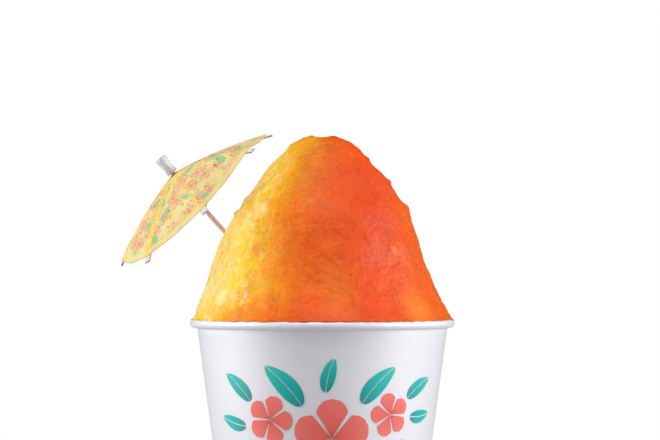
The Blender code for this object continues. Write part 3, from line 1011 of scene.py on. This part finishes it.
# %% Where the paper lies
UMBRELLA_APEX = Vector((-65.7, -3.5, 175.8)) * MM
UMBRELLA_LEAN = math.radians(41.2)
UMBRELLA_NOD = math.radians(8.5)
RIB_COUNT = 8
RIB_LENGTH = 46.5 * MM
CANOPY_DROP = 15.0 * MM
CANOPY_BOW = 1.6 * MM
# How much further than that each rib droops, and how far it is swung round
RIB_DROOP_MM = (0.0, 1.2, -0.5, 0.8, -0.5, 2.4, 0.6, -4.4)
RIB_SWING_DEG = (0.0, 2.0, -1.0, 1.0, 0.0, -6.0, 0.0, 2.5)
PAPER_SHARE_OF_RIB = 0.97
PAPER_HOLE_RADIUS = 1.5 * MM
# A fold reaches out to this share of its ribs, and lies deeper towards the hem
CREASE_REACH = 0.932
CREASE_DEPTH = 0.7 * MM
# One panel hangs a little slack
SLACK_PANEL = 4
SLACK = 1.05

turned = Euler((UMBRELLA_NOD, -UMBRELLA_LEAN, 0)).to_matrix().to_4x4()
UMBRELLA = Matrix.Translation(UMBRELLA_APEX) @ turned
STICK_AXIS = (turned @ Vector((0, 0, 1))).normalized()


def rib_angle(index):
    """How far round the stick a rib lies, counting on past the last one."""
    turns, index = divmod(index, RIB_COUNT)
    return math.radians(360 * (turns + index / RIB_COUNT) + RIB_SWING_DEG[index])


def on_rib(index, share):
    """A point of the paper over a rib, at a share of the rib's length."""
    drop = CANOPY_DROP + RIB_DROOP_MM[index % RIB_COUNT] * MM
    out = math.sqrt(RIB_LENGTH**2 - drop**2) * share
    angle = rib_angle(index)
    down = drop * share - 4 * CANOPY_BOW * share * (1 - share)
    return Vector((out * math.cos(angle), out * math.sin(angle), -down))


def on_crease(index, share):
    """A point of the paper on the fold between a rib and the next."""
    middle = (on_rib(index, share) + on_rib(index + 1, share)) / 2
    pull = CREASE_REACH / math.cos(math.pi / RIB_COUNT)
    if index == SLACK_PANEL:
        pull *= 1 + (SLACK - 1) * share
    return Vector((middle.x * pull, middle.y * pull, middle.z - CREASE_DEPTH * share))


tip = UMBRELLA @ on_rib(0, 1)
print("the upper rib ends at, in mm:", [round(value / MM, 1) for value in tip])


# %% [markdown]
# ## Folded paper
# The canopy is one disc of thin paper folded over the ribs: a ridge on each rib, a valley
# between. Close to the middle it is gathered in fine pleats, and the panels are never quite
# flat. A grid of points in rows from the middle to the hem gets the ridges and valleys from
# the two functions above and the pleats and ripples from a little noise. Each point also
# keeps where it lies on the flat sheet, so that the print follows the paper. Paper this thin
# lets light through, so it throws no shadow.

# %% The paper canopy
PAPER_THICKNESS = 0.14 * MM
PAPER_ROWS = 56
FOLD_COLUMNS = 10
# How deep each unevenness is, and how many of its waves fit in the noise for one turn round
PLEAT_DEPTH = 0.28 * MM
PLEATS = 9
RIPPLE_DEPTH = 0.3 * MM
RIPPLES = 4
HEM_WANDER = 0.35 * MM
HEM_WAVES = 7
# Each reads its own part of the noise
RIPPLE_SHIFT = Vector((3, 0, 0))
HEM_SHIFT = Vector((0, 5, 0))
# Pleats start at the middle, and are at full depth a fifth of the way out
PLEAT_START = 5
SEAM_RIB = 5


def paper_point(column, share):
    """A point of the paper and how far round it lies, for a column that counts along the folds."""
    index, step = divmod(column, 2 * FOLD_COLUMNS)
    part = step / FOLD_COLUMNS
    first, fold, second = on_rib(index, share), on_crease(index, share), on_rib(index + 1, share)
    point = first.lerp(fold, part) if part <= 1 else fold.lerp(second, part - 1)
    angle = rib_angle(index) + (rib_angle(index + 1) - rib_angle(index)) * part / 2
    loose = min(part, 2 - part)
    round_it = Vector((math.cos(angle), math.sin(angle), 0))
    gathered = (1 - share) * min(1, share * PLEAT_START)
    pleats = noise.noise(round_it * PLEATS) * PLEAT_DEPTH * loose * gathered
    ripples = noise.noise(round_it * share * RIPPLES + RIPPLE_SHIFT) * RIPPLE_DEPTH * loose * share
    hem = noise.noise(round_it * HEM_WAVES + HEM_SHIFT) * HEM_WANDER * share**6
    return point + Vector((0, 0, pleats + ripples)) + round_it * hem, angle


middle_height, _ = paper_point(0, PAPER_HOLE_RADIUS / RIB_LENGTH)
print("the paper starts this far under the middle, in mm:", round(-middle_height.z / MM, 2))


# %% The whole sheet, with its thickness
def make_paper():
    """The paper's mesh, with each point's place on the flat sheet and distance from rib and seam."""
    points, flat, from_rib, from_seam = [], [], [], []
    columns = 2 * FOLD_COLUMNS * RIB_COUNT
    start = PAPER_HOLE_RADIUS / RIB_LENGTH
    for row in range(PAPER_ROWS + 1):
        share = start + (PAPER_SHARE_OF_RIB - start) * row / PAPER_ROWS
        reach = share * RIB_LENGTH / MM
        for column in range(columns):
            point, angle = paper_point(column, share)
            points.append(UMBRELLA @ point)
            flat.append((reach * math.cos(angle), reach * math.sin(angle), 0))
            gaps = [(angle - rib_angle(rib) + math.pi) % math.tau - math.pi for rib in range(RIB_COUNT)]
            from_rib.append(reach * math.sin(min(abs(gap) for gap in gaps)))
            from_seam.append(reach * gaps[SEAM_RIB])
    faces = []
    for row in range(PAPER_ROWS):
        for column in range(columns):
            beside = (column + 1) % columns
            a, b = row * columns + column, row * columns + beside
            faces.append((a, a + columns, b + columns, b))
    mesh = bpy.data.meshes.new("paper_canopy")
    mesh.from_pydata(points, [], faces)
    layer = mesh.attributes.new("flat_mm", "FLOAT_VECTOR", "POINT")
    layer.data.foreach_set("vector", np.array(flat).ravel())
    for name, values in {"from_rib": from_rib, "from_seam": from_seam}.items():
        mesh.attributes.new(name, "FLOAT", "POINT").data.foreach_set("value", values)
    mesh.shade_smooth()
    return mesh


canopy = add_object("paper_canopy", make_paper())
thick = canopy.modifiers.new("Paper", "SOLIDIFY")
thick.thickness = PAPER_THICKNESS
thick.offset = -1
make_plain(canopy)
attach(canopy, "root")
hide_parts("umbrella_canopy")
canopy.visible_shadow = False
print("paper triangles:", 2 * len(canopy.data.polygons))


# %% [markdown]
# ## The print on the paper
# Cocktail umbrellas carry a loose pattern of blossoms drawn in thin orange lines, with green
# leaves and dark dots, on yellow paper. A Voronoi texture drops one motif in each cell of the
# flat sheet. Within a cell, the angle and the distance from its middle draw the petals, and
# noise shakes the lines so that they look like ink on rough paper.

# %% Yellow paper with blossoms and leaves
CLOUD_MM = 9
PAPER_YELLOWS = ((0.3, "D9BF83"), (0.5, "DBCC87"), (0.7, "DDD49A"))
# Noise of this size shakes the lines, over a range of this much
QUIVER_SIZE_MM = 1.6
QUIVER_MM = 2.6
# The print runs from one distance from the middle to another, and fades in and out at both
PRINT_FROM_MM = (8, 11)
PRINT_TO_MM = (40.5, 42.5)
CELL_RANDOMNESS = 0.7

paper, tree, shader = new_finish("printed_tissue_paper", roughness=0.85)
flat = add_node(tree, "ShaderNodeAttribute", attribute_name="flat_mm").outputs["Vector"]
from_middle = add_node(tree, "ShaderNodeVectorMath", {0: flat}, operation="LENGTH").outputs["Value"]
feeds = {"Vector": flat, "Scale": 1 / CLOUD_MM, "Detail": 3}
cloud = add_node(tree, "ShaderNodeTexNoise", feeds).outputs[0]
colour = fill_ramp(add_node(tree, "ShaderNodeValToRGB", {0: cloud}), PAPER_YELLOWS)
feeds = {"Vector": flat, "Scale": 1 / QUIVER_SIZE_MM, "Detail": 2}
quiver = add_node(tree, "ShaderNodeTexNoise", feeds).outputs[1]
feeds = {0: quiver, 1: (QUIVER_MM, QUIVER_MM, 0), 2: flat}
shaken = add_node(tree, "ShaderNodeVectorMath", feeds, operation="MULTIPLY_ADD").outputs[0]
feeds = {0: from_middle, 1: PRINT_FROM_MM[0], 2: PRINT_FROM_MM[1]}
inside = add_node(tree, "ShaderNodeMapRange", feeds).outputs[0]
feeds = {0: from_middle, 1: PRINT_TO_MM[0], 2: PRINT_TO_MM[1], 3: 1, 4: 0}
short_of_hem = add_node(tree, "ShaderNodeMapRange", feeds).outputs[0]
feeds = {0: inside, 1: short_of_hem}
printed = add_node(tree, "ShaderNodeMath", feeds, operation="MULTIPLY").outputs[0]


def cell_motif(cell_mm, shift):
    """Where a point lies from the middle of its cell, how far that is, and three random numbers."""
    moved = add_node(tree, "ShaderNodeVectorMath", {0: shaken, 1: shift}, operation="ADD").outputs[0]
    feeds = {"Vector": moved, "Scale": 1 / cell_mm, "Randomness": CELL_RANDOMNESS}
    cells = add_node(tree, "ShaderNodeTexVoronoi", feeds, voronoi_dimensions="2D")
    feeds = {0: moved, 1: cells.outputs["Position"]}
    local = add_node(tree, "ShaderNodeVectorMath", feeds, operation="SUBTRACT").outputs[0]
    reach = add_node(tree, "ShaderNodeVectorMath", {0: local}, operation="LENGTH").outputs["Value"]
    return local, reach, add_node(tree, "ShaderNodeSeparateColor", {0: cells.outputs["Color"]}).outputs


def angle_of(vector):
    """The angle of a flat vector, from its X axis."""
    x, y, _ = add_node(tree, "ShaderNodeSeparateXYZ", {0: vector}).outputs
    return add_node(tree, "ShaderNodeMath", {0: y, 1: x}, operation="ARCTAN2").outputs[0]


def lay_ink(under, share, hex_colour, strength):
    """Prints one colour over what is there, only where the sheet is printed."""
    there = add_node(tree, "ShaderNodeMath", {0: share, 1: printed}, operation="MULTIPLY").outputs[0]
    some = add_node(tree, "ShaderNodeMath", {0: there, 1: strength}, operation="MULTIPLY").outputs[0]
    feeds = {0: some, 6: under, 7: screen(hex_colour)}
    return add_node(tree, "ShaderNodeMix", feeds, data_type="RGBA").outputs[2]


print("the print stops", round(RIB_LENGTH / MM - PRINT_TO_MM[1], 1), "mm short of the ribs' ends")

# %% Blossoms in thin lines
BLOSSOM_CELL_MM = 9.5
PETALS_DRAWN = 5
# Each line: its reach and the depth of its lobes in mm, its width, and how full its inside is
RINGS_MM = ((3.9, 1.1, 0.2, 0.55), (2.3, 0.8, 0.18, 0.2), (0.9, 0.2, 0.25, 0.2))
BLUSH = "F0B690"
BLUSH_EDGE_MM = 0.2
LINE_INK = "B0583A"
LINE_STRENGTH = 0.85
SQUIGGLE_MM = 1.7
STROKE_EDGES = (0.012, 0.03)
STROKE_INK = "BC6440"
STROKE_STRENGTH = 0.75

local, reach, chance = cell_motif(BLOSSOM_CELL_MM, (0, 0, 0))
feeds = {0: angle_of(local), 1: PETALS_DRAWN, 2: chance[0]}
lobes = add_node(tree, "ShaderNodeMath", feeds, operation="MULTIPLY_ADD").outputs[0]
wave = add_node(tree, "ShaderNodeMath", {0: lobes}, operation="COSINE").outputs[0]
insides = []
for petal_reach, wave_depth, line_width, filled in RINGS_MM:
    feeds = {0: wave, 1: wave_depth, 2: petal_reach}
    edge = add_node(tree, "ShaderNodeMath", feeds, operation="MULTIPLY_ADD").outputs[0]
    past = add_node(tree, "ShaderNodeMath", {0: reach, 1: edge}, operation="SUBTRACT").outputs[0]
    feeds = {0: past, 1: -BLUSH_EDGE_MM, 2: BLUSH_EDGE_MM, 3: 1, 4: 0}
    insides.append(add_node(tree, "ShaderNodeMapRange", feeds).outputs[0])
    colour = lay_ink(colour, insides[-1], BLUSH, filled)
    near = add_node(tree, "ShaderNodeMath", {0: past}, operation="ABSOLUTE").outputs[0]
    feeds = {0: near, 1: line_width / 2, 2: line_width, 3: 1, 4: 0}
    line = add_node(tree, "ShaderNodeMapRange", feeds).outputs[0]
    colour = lay_ink(colour, line, LINE_INK, LINE_STRENGTH)
# Short strokes inside the petals follow the line where noise is at its middle value
feeds = {"Vector": flat, "Scale": 1 / SQUIGGLE_MM, "Detail": 1}
squiggle = add_node(tree, "ShaderNodeTexNoise", feeds).outputs[0]
offset = add_node(tree, "ShaderNodeMath", {0: squiggle, 1: 0.5}, operation="SUBTRACT").outputs[0]
offset = add_node(tree, "ShaderNodeMath", {0: offset}, operation="ABSOLUTE").outputs[0]
feeds = {0: offset, 1: STROKE_EDGES[0], 2: STROKE_EDGES[1], 3: 1, 4: 0}
stroke = add_node(tree, "ShaderNodeMapRange", feeds).outputs[0]
stroke = add_node(tree, "ShaderNodeMath", {0: stroke, 1: insides[0]}, operation="MULTIPLY").outputs[0]
colour = lay_ink(colour, stroke, STROKE_INK, STROKE_STRENGTH)
print("lines in a blossom:", len(RINGS_MM))

# %% Leaves and dots
LEAF_CELL_MM = 11.5
LEAF_HALF_WIDTH_MM = 1.75
# The half width changes by this much times the square of the distance along the leaf
LEAF_NARROWING = -0.075
LEAF_EDGE_MM = 0.25
LEAF_INK = "74BE8A"
DOT_CELL_MM = 6.5
DOT_EDGES_MM = (0.35, 0.6)
DOT_INK = "4A4A28"
# The share of the cells that have no leaf, and that have no dot
BARE_OF_LEAF = 0.4
BARE_OF_DOT = 0.55

local, _, chance = cell_motif(LEAF_CELL_MM, (31, 17, 0))
spin = add_node(tree, "ShaderNodeMath", {0: chance[1], 1: math.tau}, operation="MULTIPLY").outputs[0]
feeds = {"Vector": local, "Angle": spin}
aimed = add_node(tree, "ShaderNodeVectorRotate", feeds, rotation_type="Z_AXIS").outputs[0]
along, aside, _ = add_node(tree, "ShaderNodeSeparateXYZ", {0: aimed}).outputs
square = add_node(tree, "ShaderNodeMath", {0: along, 1: along}, operation="MULTIPLY").outputs[0]
feeds = {0: square, 1: LEAF_NARROWING, 2: LEAF_HALF_WIDTH_MM}
half_width = add_node(tree, "ShaderNodeMath", feeds, operation="MULTIPLY_ADD").outputs[0]
off = add_node(tree, "ShaderNodeMath", {0: aside}, operation="ABSOLUTE").outputs[0]
room = add_node(tree, "ShaderNodeMath", {0: half_width, 1: off}, operation="SUBTRACT").outputs[0]
leaf = add_node(tree, "ShaderNodeMapRange", {0: room, 1: 0, 2: LEAF_EDGE_MM}).outputs[0]
leaf_chance = chance[0]
_, reach, chance = cell_motif(DOT_CELL_MM, (7, 53, 0))
feeds = {0: reach, 1: DOT_EDGES_MM[0], 2: DOT_EDGES_MM[1], 3: 1, 4: 0}
dot = add_node(tree, "ShaderNodeMapRange", feeds).outputs[0]
motifs = ((leaf, leaf_chance, BARE_OF_LEAF, LEAF_INK), (dot, chance[2], BARE_OF_DOT, DOT_INK))
for motif, draw, bare, hex_colour in motifs:
    picked = add_node(tree, "ShaderNodeMath", {0: draw, 1: bare}, operation="GREATER_THAN").outputs[0]
    here = add_node(tree, "ShaderNodeMath", {0: motif, 1: picked}, operation="MULTIPLY").outputs[0]
    colour = lay_ink(colour, here, hex_colour, LINE_STRENGTH)
print("nodes in the paper so far:", len(tree.nodes))


# %% [markdown]
# ## Folds, ribs and seam in the paper
# Deeper yellow bands along the card ribs are painted shadow: the ribs seen through the thin paper. Along one
# rib the ends of the sheet overlap as two bright ribbons with brown edges, and on the upper rib a dark line
# of glue runs down an olive band. Around its middle, where the paper is gathered, darker pleats are
# painted shade, and colour there is deepest. Fine fibres give a soft bump.

# %% Bands of painted shade, and where the paper is doubled
# Each band: the distance in mm up to which it is full and that at which it ends, colour, strength
# Painted shadow of each rib seen through the paper
RIB_SHADOW_BAND_MM = (0.5, 1.7, "E9C650", 0.45)
RIBBON_AT_MM = 1.25
RIBBONS_MM = ((0.54, 0.72, "9C7C34", 0.65), (0.39, 0.52, "F2DC40", 1.0))
# Painted shade in the pleats around the paper's middle
PLEAT_SHADE_BAND_MM = (6, 26, "B08A48", 0.9)
UPPER_BANDS_MM = ((1.14, 1.9, "DCBF5E", 0.7), (0.36, 0.6, "7E6848", 0.8))
UPPER_FROM_MM = 3.0
MIDDLE_BAND_MM = (2.5, 5.0, "DE9A34", 0.85)
PLEATS_DRAWN = 15
PLEAT_SHADE_EDGES = (0.53, 0.6)
# Real fibres are finer than a pixel, so they are drawn this coarse
FIBRE_MM = 0.5


def lay_band(under, away, full, end, hex_colour, strength, where=None):
    """Lays a band of colour over the paper, full up to one distance and gone at another."""
    feeds = {0: away, 1: full, 2: end, 3: strength, 4: 0}
    band = add_node(tree, "ShaderNodeMapRange", feeds).outputs[0]
    if where:
        band = add_node(tree, "ShaderNodeMath", {0: band, 1: where}, operation="MULTIPLY").outputs[0]
    feeds = {0: band, 6: under, 7: screen(hex_colour)}
    return add_node(tree, "ShaderNodeMix", feeds, data_type="RGBA").outputs[2]


# Painted shadow of the ribs seen through the paper
from_rib = add_node(tree, "ShaderNodeAttribute", attribute_name="from_rib").outputs["Fac"]
colour = lay_band(colour, from_rib, *RIB_SHADOW_BAND_MM)
from_seam = add_node(tree, "ShaderNodeAttribute", attribute_name="from_seam").outputs["Fac"]
beside = add_node(tree, "ShaderNodeMath", {0: from_seam}, operation="ABSOLUTE").outputs[0]
beside = add_node(tree, "ShaderNodeMath", {0: beside, 1: RIBBON_AT_MM}, operation="SUBTRACT").outputs[0]
beside = add_node(tree, "ShaderNodeMath", {0: beside}, operation="ABSOLUTE").outputs[0]
for ribbon in RIBBONS_MM:
    colour = lay_band(colour, beside, *ribbon)
# Painted shade in the pleats
feeds = {"W": angle_of(flat), "Scale": PLEATS_DRAWN, "Detail": 1}
pleats = add_node(tree, "ShaderNodeTexNoise", feeds, noise_dimensions="1D").outputs[0]
feeds = {0: pleats, 1: PLEAT_SHADE_EDGES[0], 2: PLEAT_SHADE_EDGES[1], 4: 1}
pleats = add_node(tree, "ShaderNodeMapRange", feeds).outputs[0]
colour = lay_band(colour, from_middle, *PLEAT_SHADE_BAND_MM, where=pleats)
flat_x, flat_y, _ = add_node(tree, "ShaderNodeSeparateXYZ", {0: flat}).outputs
beside = add_node(tree, "ShaderNodeMath", {0: flat_y}, operation="ABSOLUTE").outputs[0]
feeds = {0: flat_x, 1: UPPER_FROM_MM}
upper = add_node(tree, "ShaderNodeMath", feeds, operation="GREATER_THAN").outputs[0]
for band in UPPER_BANDS_MM:
    colour = lay_band(colour, beside, *band, where=upper)
colour = lay_band(colour, from_middle, *MIDDLE_BAND_MM)
feeds = {"Vector": flat, "Scale": 1 / FIBRE_MM, "Detail": 3}
fibres = add_node(tree, "ShaderNodeTexNoise", feeds).outputs[0]
colour_and_bump(tree, shader, colour, fibres, strength=0.4, depth=0.05 * MM)
feed(shader, {"Subsurface Weight": 0.15, "Subsurface Scale": 0.5 * MM})
canopy.data.materials.clear()
canopy.data.materials.append(paper)
print("nodes in the paper:", len(tree.nodes))


# %% [markdown]
# ## Card, wood, rolled paper and frosted plastic
# The ribs and struts are strips of lilac card, and their cut edges were dyed dark. The stick
# is a plain birch pick whose grain runs along it, the hub and the runner are rolls of paper,
# and the cap is a short sleeve of frosted plastic, brown at its foot: partly the wood showing
# through, partly painted shade where it meets the paper.
# The strips keep their solids, and the round pieces get the same smooth copies as the cup.
# Every finish follows the stick's direction.

# %% Dyed card
# The pulp of the real card is finer, and is drawn coarse enough to show
PULP_MM = 0.8
# How squarely a face of the card looks along the stick where its edge ends and its face starts
CUT_EDGES = (0.35, 0.6)
CUT_EDGE_STRENGTH = 0.55


def along_stick(tree):
    """Object coordinates in mm, turned so that Z runs up the stick from the paper's middle."""
    feeds = {0: place_in_mm(tree), 1: UMBRELLA_APEX / MM}
    moved = add_node(tree, "ShaderNodeVectorMath", feeds, operation="SUBTRACT").outputs[0]
    feeds = {"Vector": moved, "Rotation": (-UMBRELLA_NOD, UMBRELLA_LEAN, 0)}
    return add_node(tree, "ShaderNodeVectorRotate", feeds, rotation_type="EULER_XYZ").outputs[0]


card, tree, shader = new_finish("dyed_card", roughness=0.8)
normal = add_node(tree, "ShaderNodeNewGeometry").outputs["True Normal"]
feeds = {0: normal, 1: STICK_AXIS}
facing = add_node(tree, "ShaderNodeVectorMath", feeds, operation="DOT_PRODUCT").outputs["Value"]
facing = add_node(tree, "ShaderNodeMath", {0: facing}, operation="ABSOLUTE").outputs[0]
feeds = {0: facing, 1: CUT_EDGES[0], 2: CUT_EDGES[1], 3: CUT_EDGE_STRENGTH, 4: 0}
edge = add_node(tree, "ShaderNodeMapRange", feeds).outputs[0]
feeds = {"Vector": along_stick(tree), "Scale": 1 / PULP_MM, "Detail": 3}
pulp = add_node(tree, "ShaderNodeTexNoise", feeds).outputs[0]
stops = ((0.35, "C3B6CB"), (0.65, "DACFDE"))
face = fill_ramp(add_node(tree, "ShaderNodeValToRGB", {0: pulp}), stops)
feeds = {0: edge, 6: face, 7: screen("74688A")}
tone = add_node(tree, "ShaderNodeMix", feeds, data_type="RGBA").outputs[2]
colour_and_bump(tree, shader, tone, pulp, strength=0.3, depth=0.05 * MM)
print("nodes in the card:", len(tree.nodes))

# %% Birch, with its grain along the stick, and rolled paper
# Birch has finer pores than this, and their streaks run long, so they are squeezed along the stick
GRAIN_MM = 0.35
GRAIN_ALONG = 0.06
# Two layers of the strip show as one ring, because a single layer is too thin to see
PAPER_TURN_MM = 0.28

birch, tree, shader = new_finish("birch_pick", roughness=0.6)
feeds = {0: along_stick(tree), "Scale": (1, 1, GRAIN_ALONG)}
stretched = add_node(tree, "ShaderNodeMapping", feeds).outputs[0]
feeds = {"Vector": stretched, "Scale": 1 / GRAIN_MM, "Detail": 3}
grain = add_node(tree, "ShaderNodeTexNoise", feeds).outputs[0]
stops = ((0.3, "C4AAB4"), (0.5, "E1CAD4"), (0.75, "F0DEE6"))
tone = fill_ramp(add_node(tree, "ShaderNodeValToRGB", {0: grain}), stops)
colour_and_bump(tree, shader, tone, grain, strength=0.4, depth=0.08 * MM)

rolled, tree, shader = new_finish("rolled_paper_strip", roughness=0.8)
feeds = {"Vector": along_stick(tree), "Scale": 2 / (PAPER_TURN_MM * math.tau), "Distortion": 1.2}
layers = add_node(tree, "ShaderNodeTexWave", feeds, wave_type="RINGS", rings_direction="Z").outputs["Fac"]
stops = ((0.2, "C9C0CF"), (0.8, "EAE6EF"))
tone = fill_ramp(add_node(tree, "ShaderNodeValToRGB", {0: layers}), stops)
colour_and_bump(tree, shader, tone, layers, strength=0.4, depth=0.06 * MM)
print("turns of paper in a millimetre:", round(1 / PAPER_TURN_MM, 1))

# %% Frosted plastic
CLOUDY_MM = 1.2
CLOUDY_SHIFT_MM = 1.5
# Where the sleeve's colours start and end, along the stick from the paper's middle
SLEEVE_MM = (0.5, 9.5)
# Brown at the foot: partly the wood showing through, partly painted shade where the sleeve meets the paper.
# Greyer at the top end.
SLEEVE_TONES_AND_SHADE = ((0.0, "A08E84"), (0.2, "D8D4DC"), (0.5, "ECEDF6"), (0.85, "EAEBF4"), (1.0, "CCCDD6"))

frosted, tree, shader = new_finish("frosted_plastic_sleeve", roughness=0.4, ior=1.49)
in_mm = along_stick(tree)
up = add_node(tree, "ShaderNodeSeparateXYZ", {0: in_mm}).outputs[2]
feeds = {"Vector": in_mm, "Scale": 1 / CLOUDY_MM, "Detail": 2}
cloudy = add_node(tree, "ShaderNodeTexNoise", feeds).outputs[0]
feeds = {0: cloudy, 1: CLOUDY_SHIFT_MM, 2: up}
up = add_node(tree, "ShaderNodeMath", feeds, operation="MULTIPLY_ADD").outputs[0]
share = add_node(tree, "ShaderNodeMapRange", {0: up, 1: SLEEVE_MM[0], 2: SLEEVE_MM[1]}).outputs[0]
tone = fill_ramp(add_node(tree, "ShaderNodeValToRGB", {0: share}), SLEEVE_TONES_AND_SHADE)
feeds = {"Base Color": tone, "Specular IOR Level": 0.9, "Coat Weight": 0.8, "Coat Roughness": 0.5}
feed(shader, feeds)
print("the sleeve's colours run over", SLEEVE_MM[1] - SLEEVE_MM[0], "mm")

# %% Finishes on the pieces of the frame
smooth_copy("birch_stick", "umbrella_stick", birch)
smooth_copy("frosted_cap", "umbrella_cap", frosted)
smooth_copy("rolled_hub", "umbrella_hub", rolled)
smooth_copy("rolled_runner", "umbrella_runner", rolled)
strips = [f"{kind}_{index}" for kind in ("rib", "strut") for index in range(1, RIB_COUNT + 1)]
for name in strips:
    nodes[name].data.materials.clear()
    nodes[name].data.materials.append(card)
print("strips of card:", len(strips))


# %% [markdown]
# ## Sizes
# The dressed dessert is meant to fill the same box as its solids. Both boxes are printed so
# that they can be compared.

# %% Print both boxes
boxes = {"cad": [list(corner) for corner in cad_box], "visual": [list(corner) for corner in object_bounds()]}
for name, (low, high) in boxes.items():
    print(name, "box in mm:", [round((b - a) / MM, 1) for a, b in zip(low, high)])
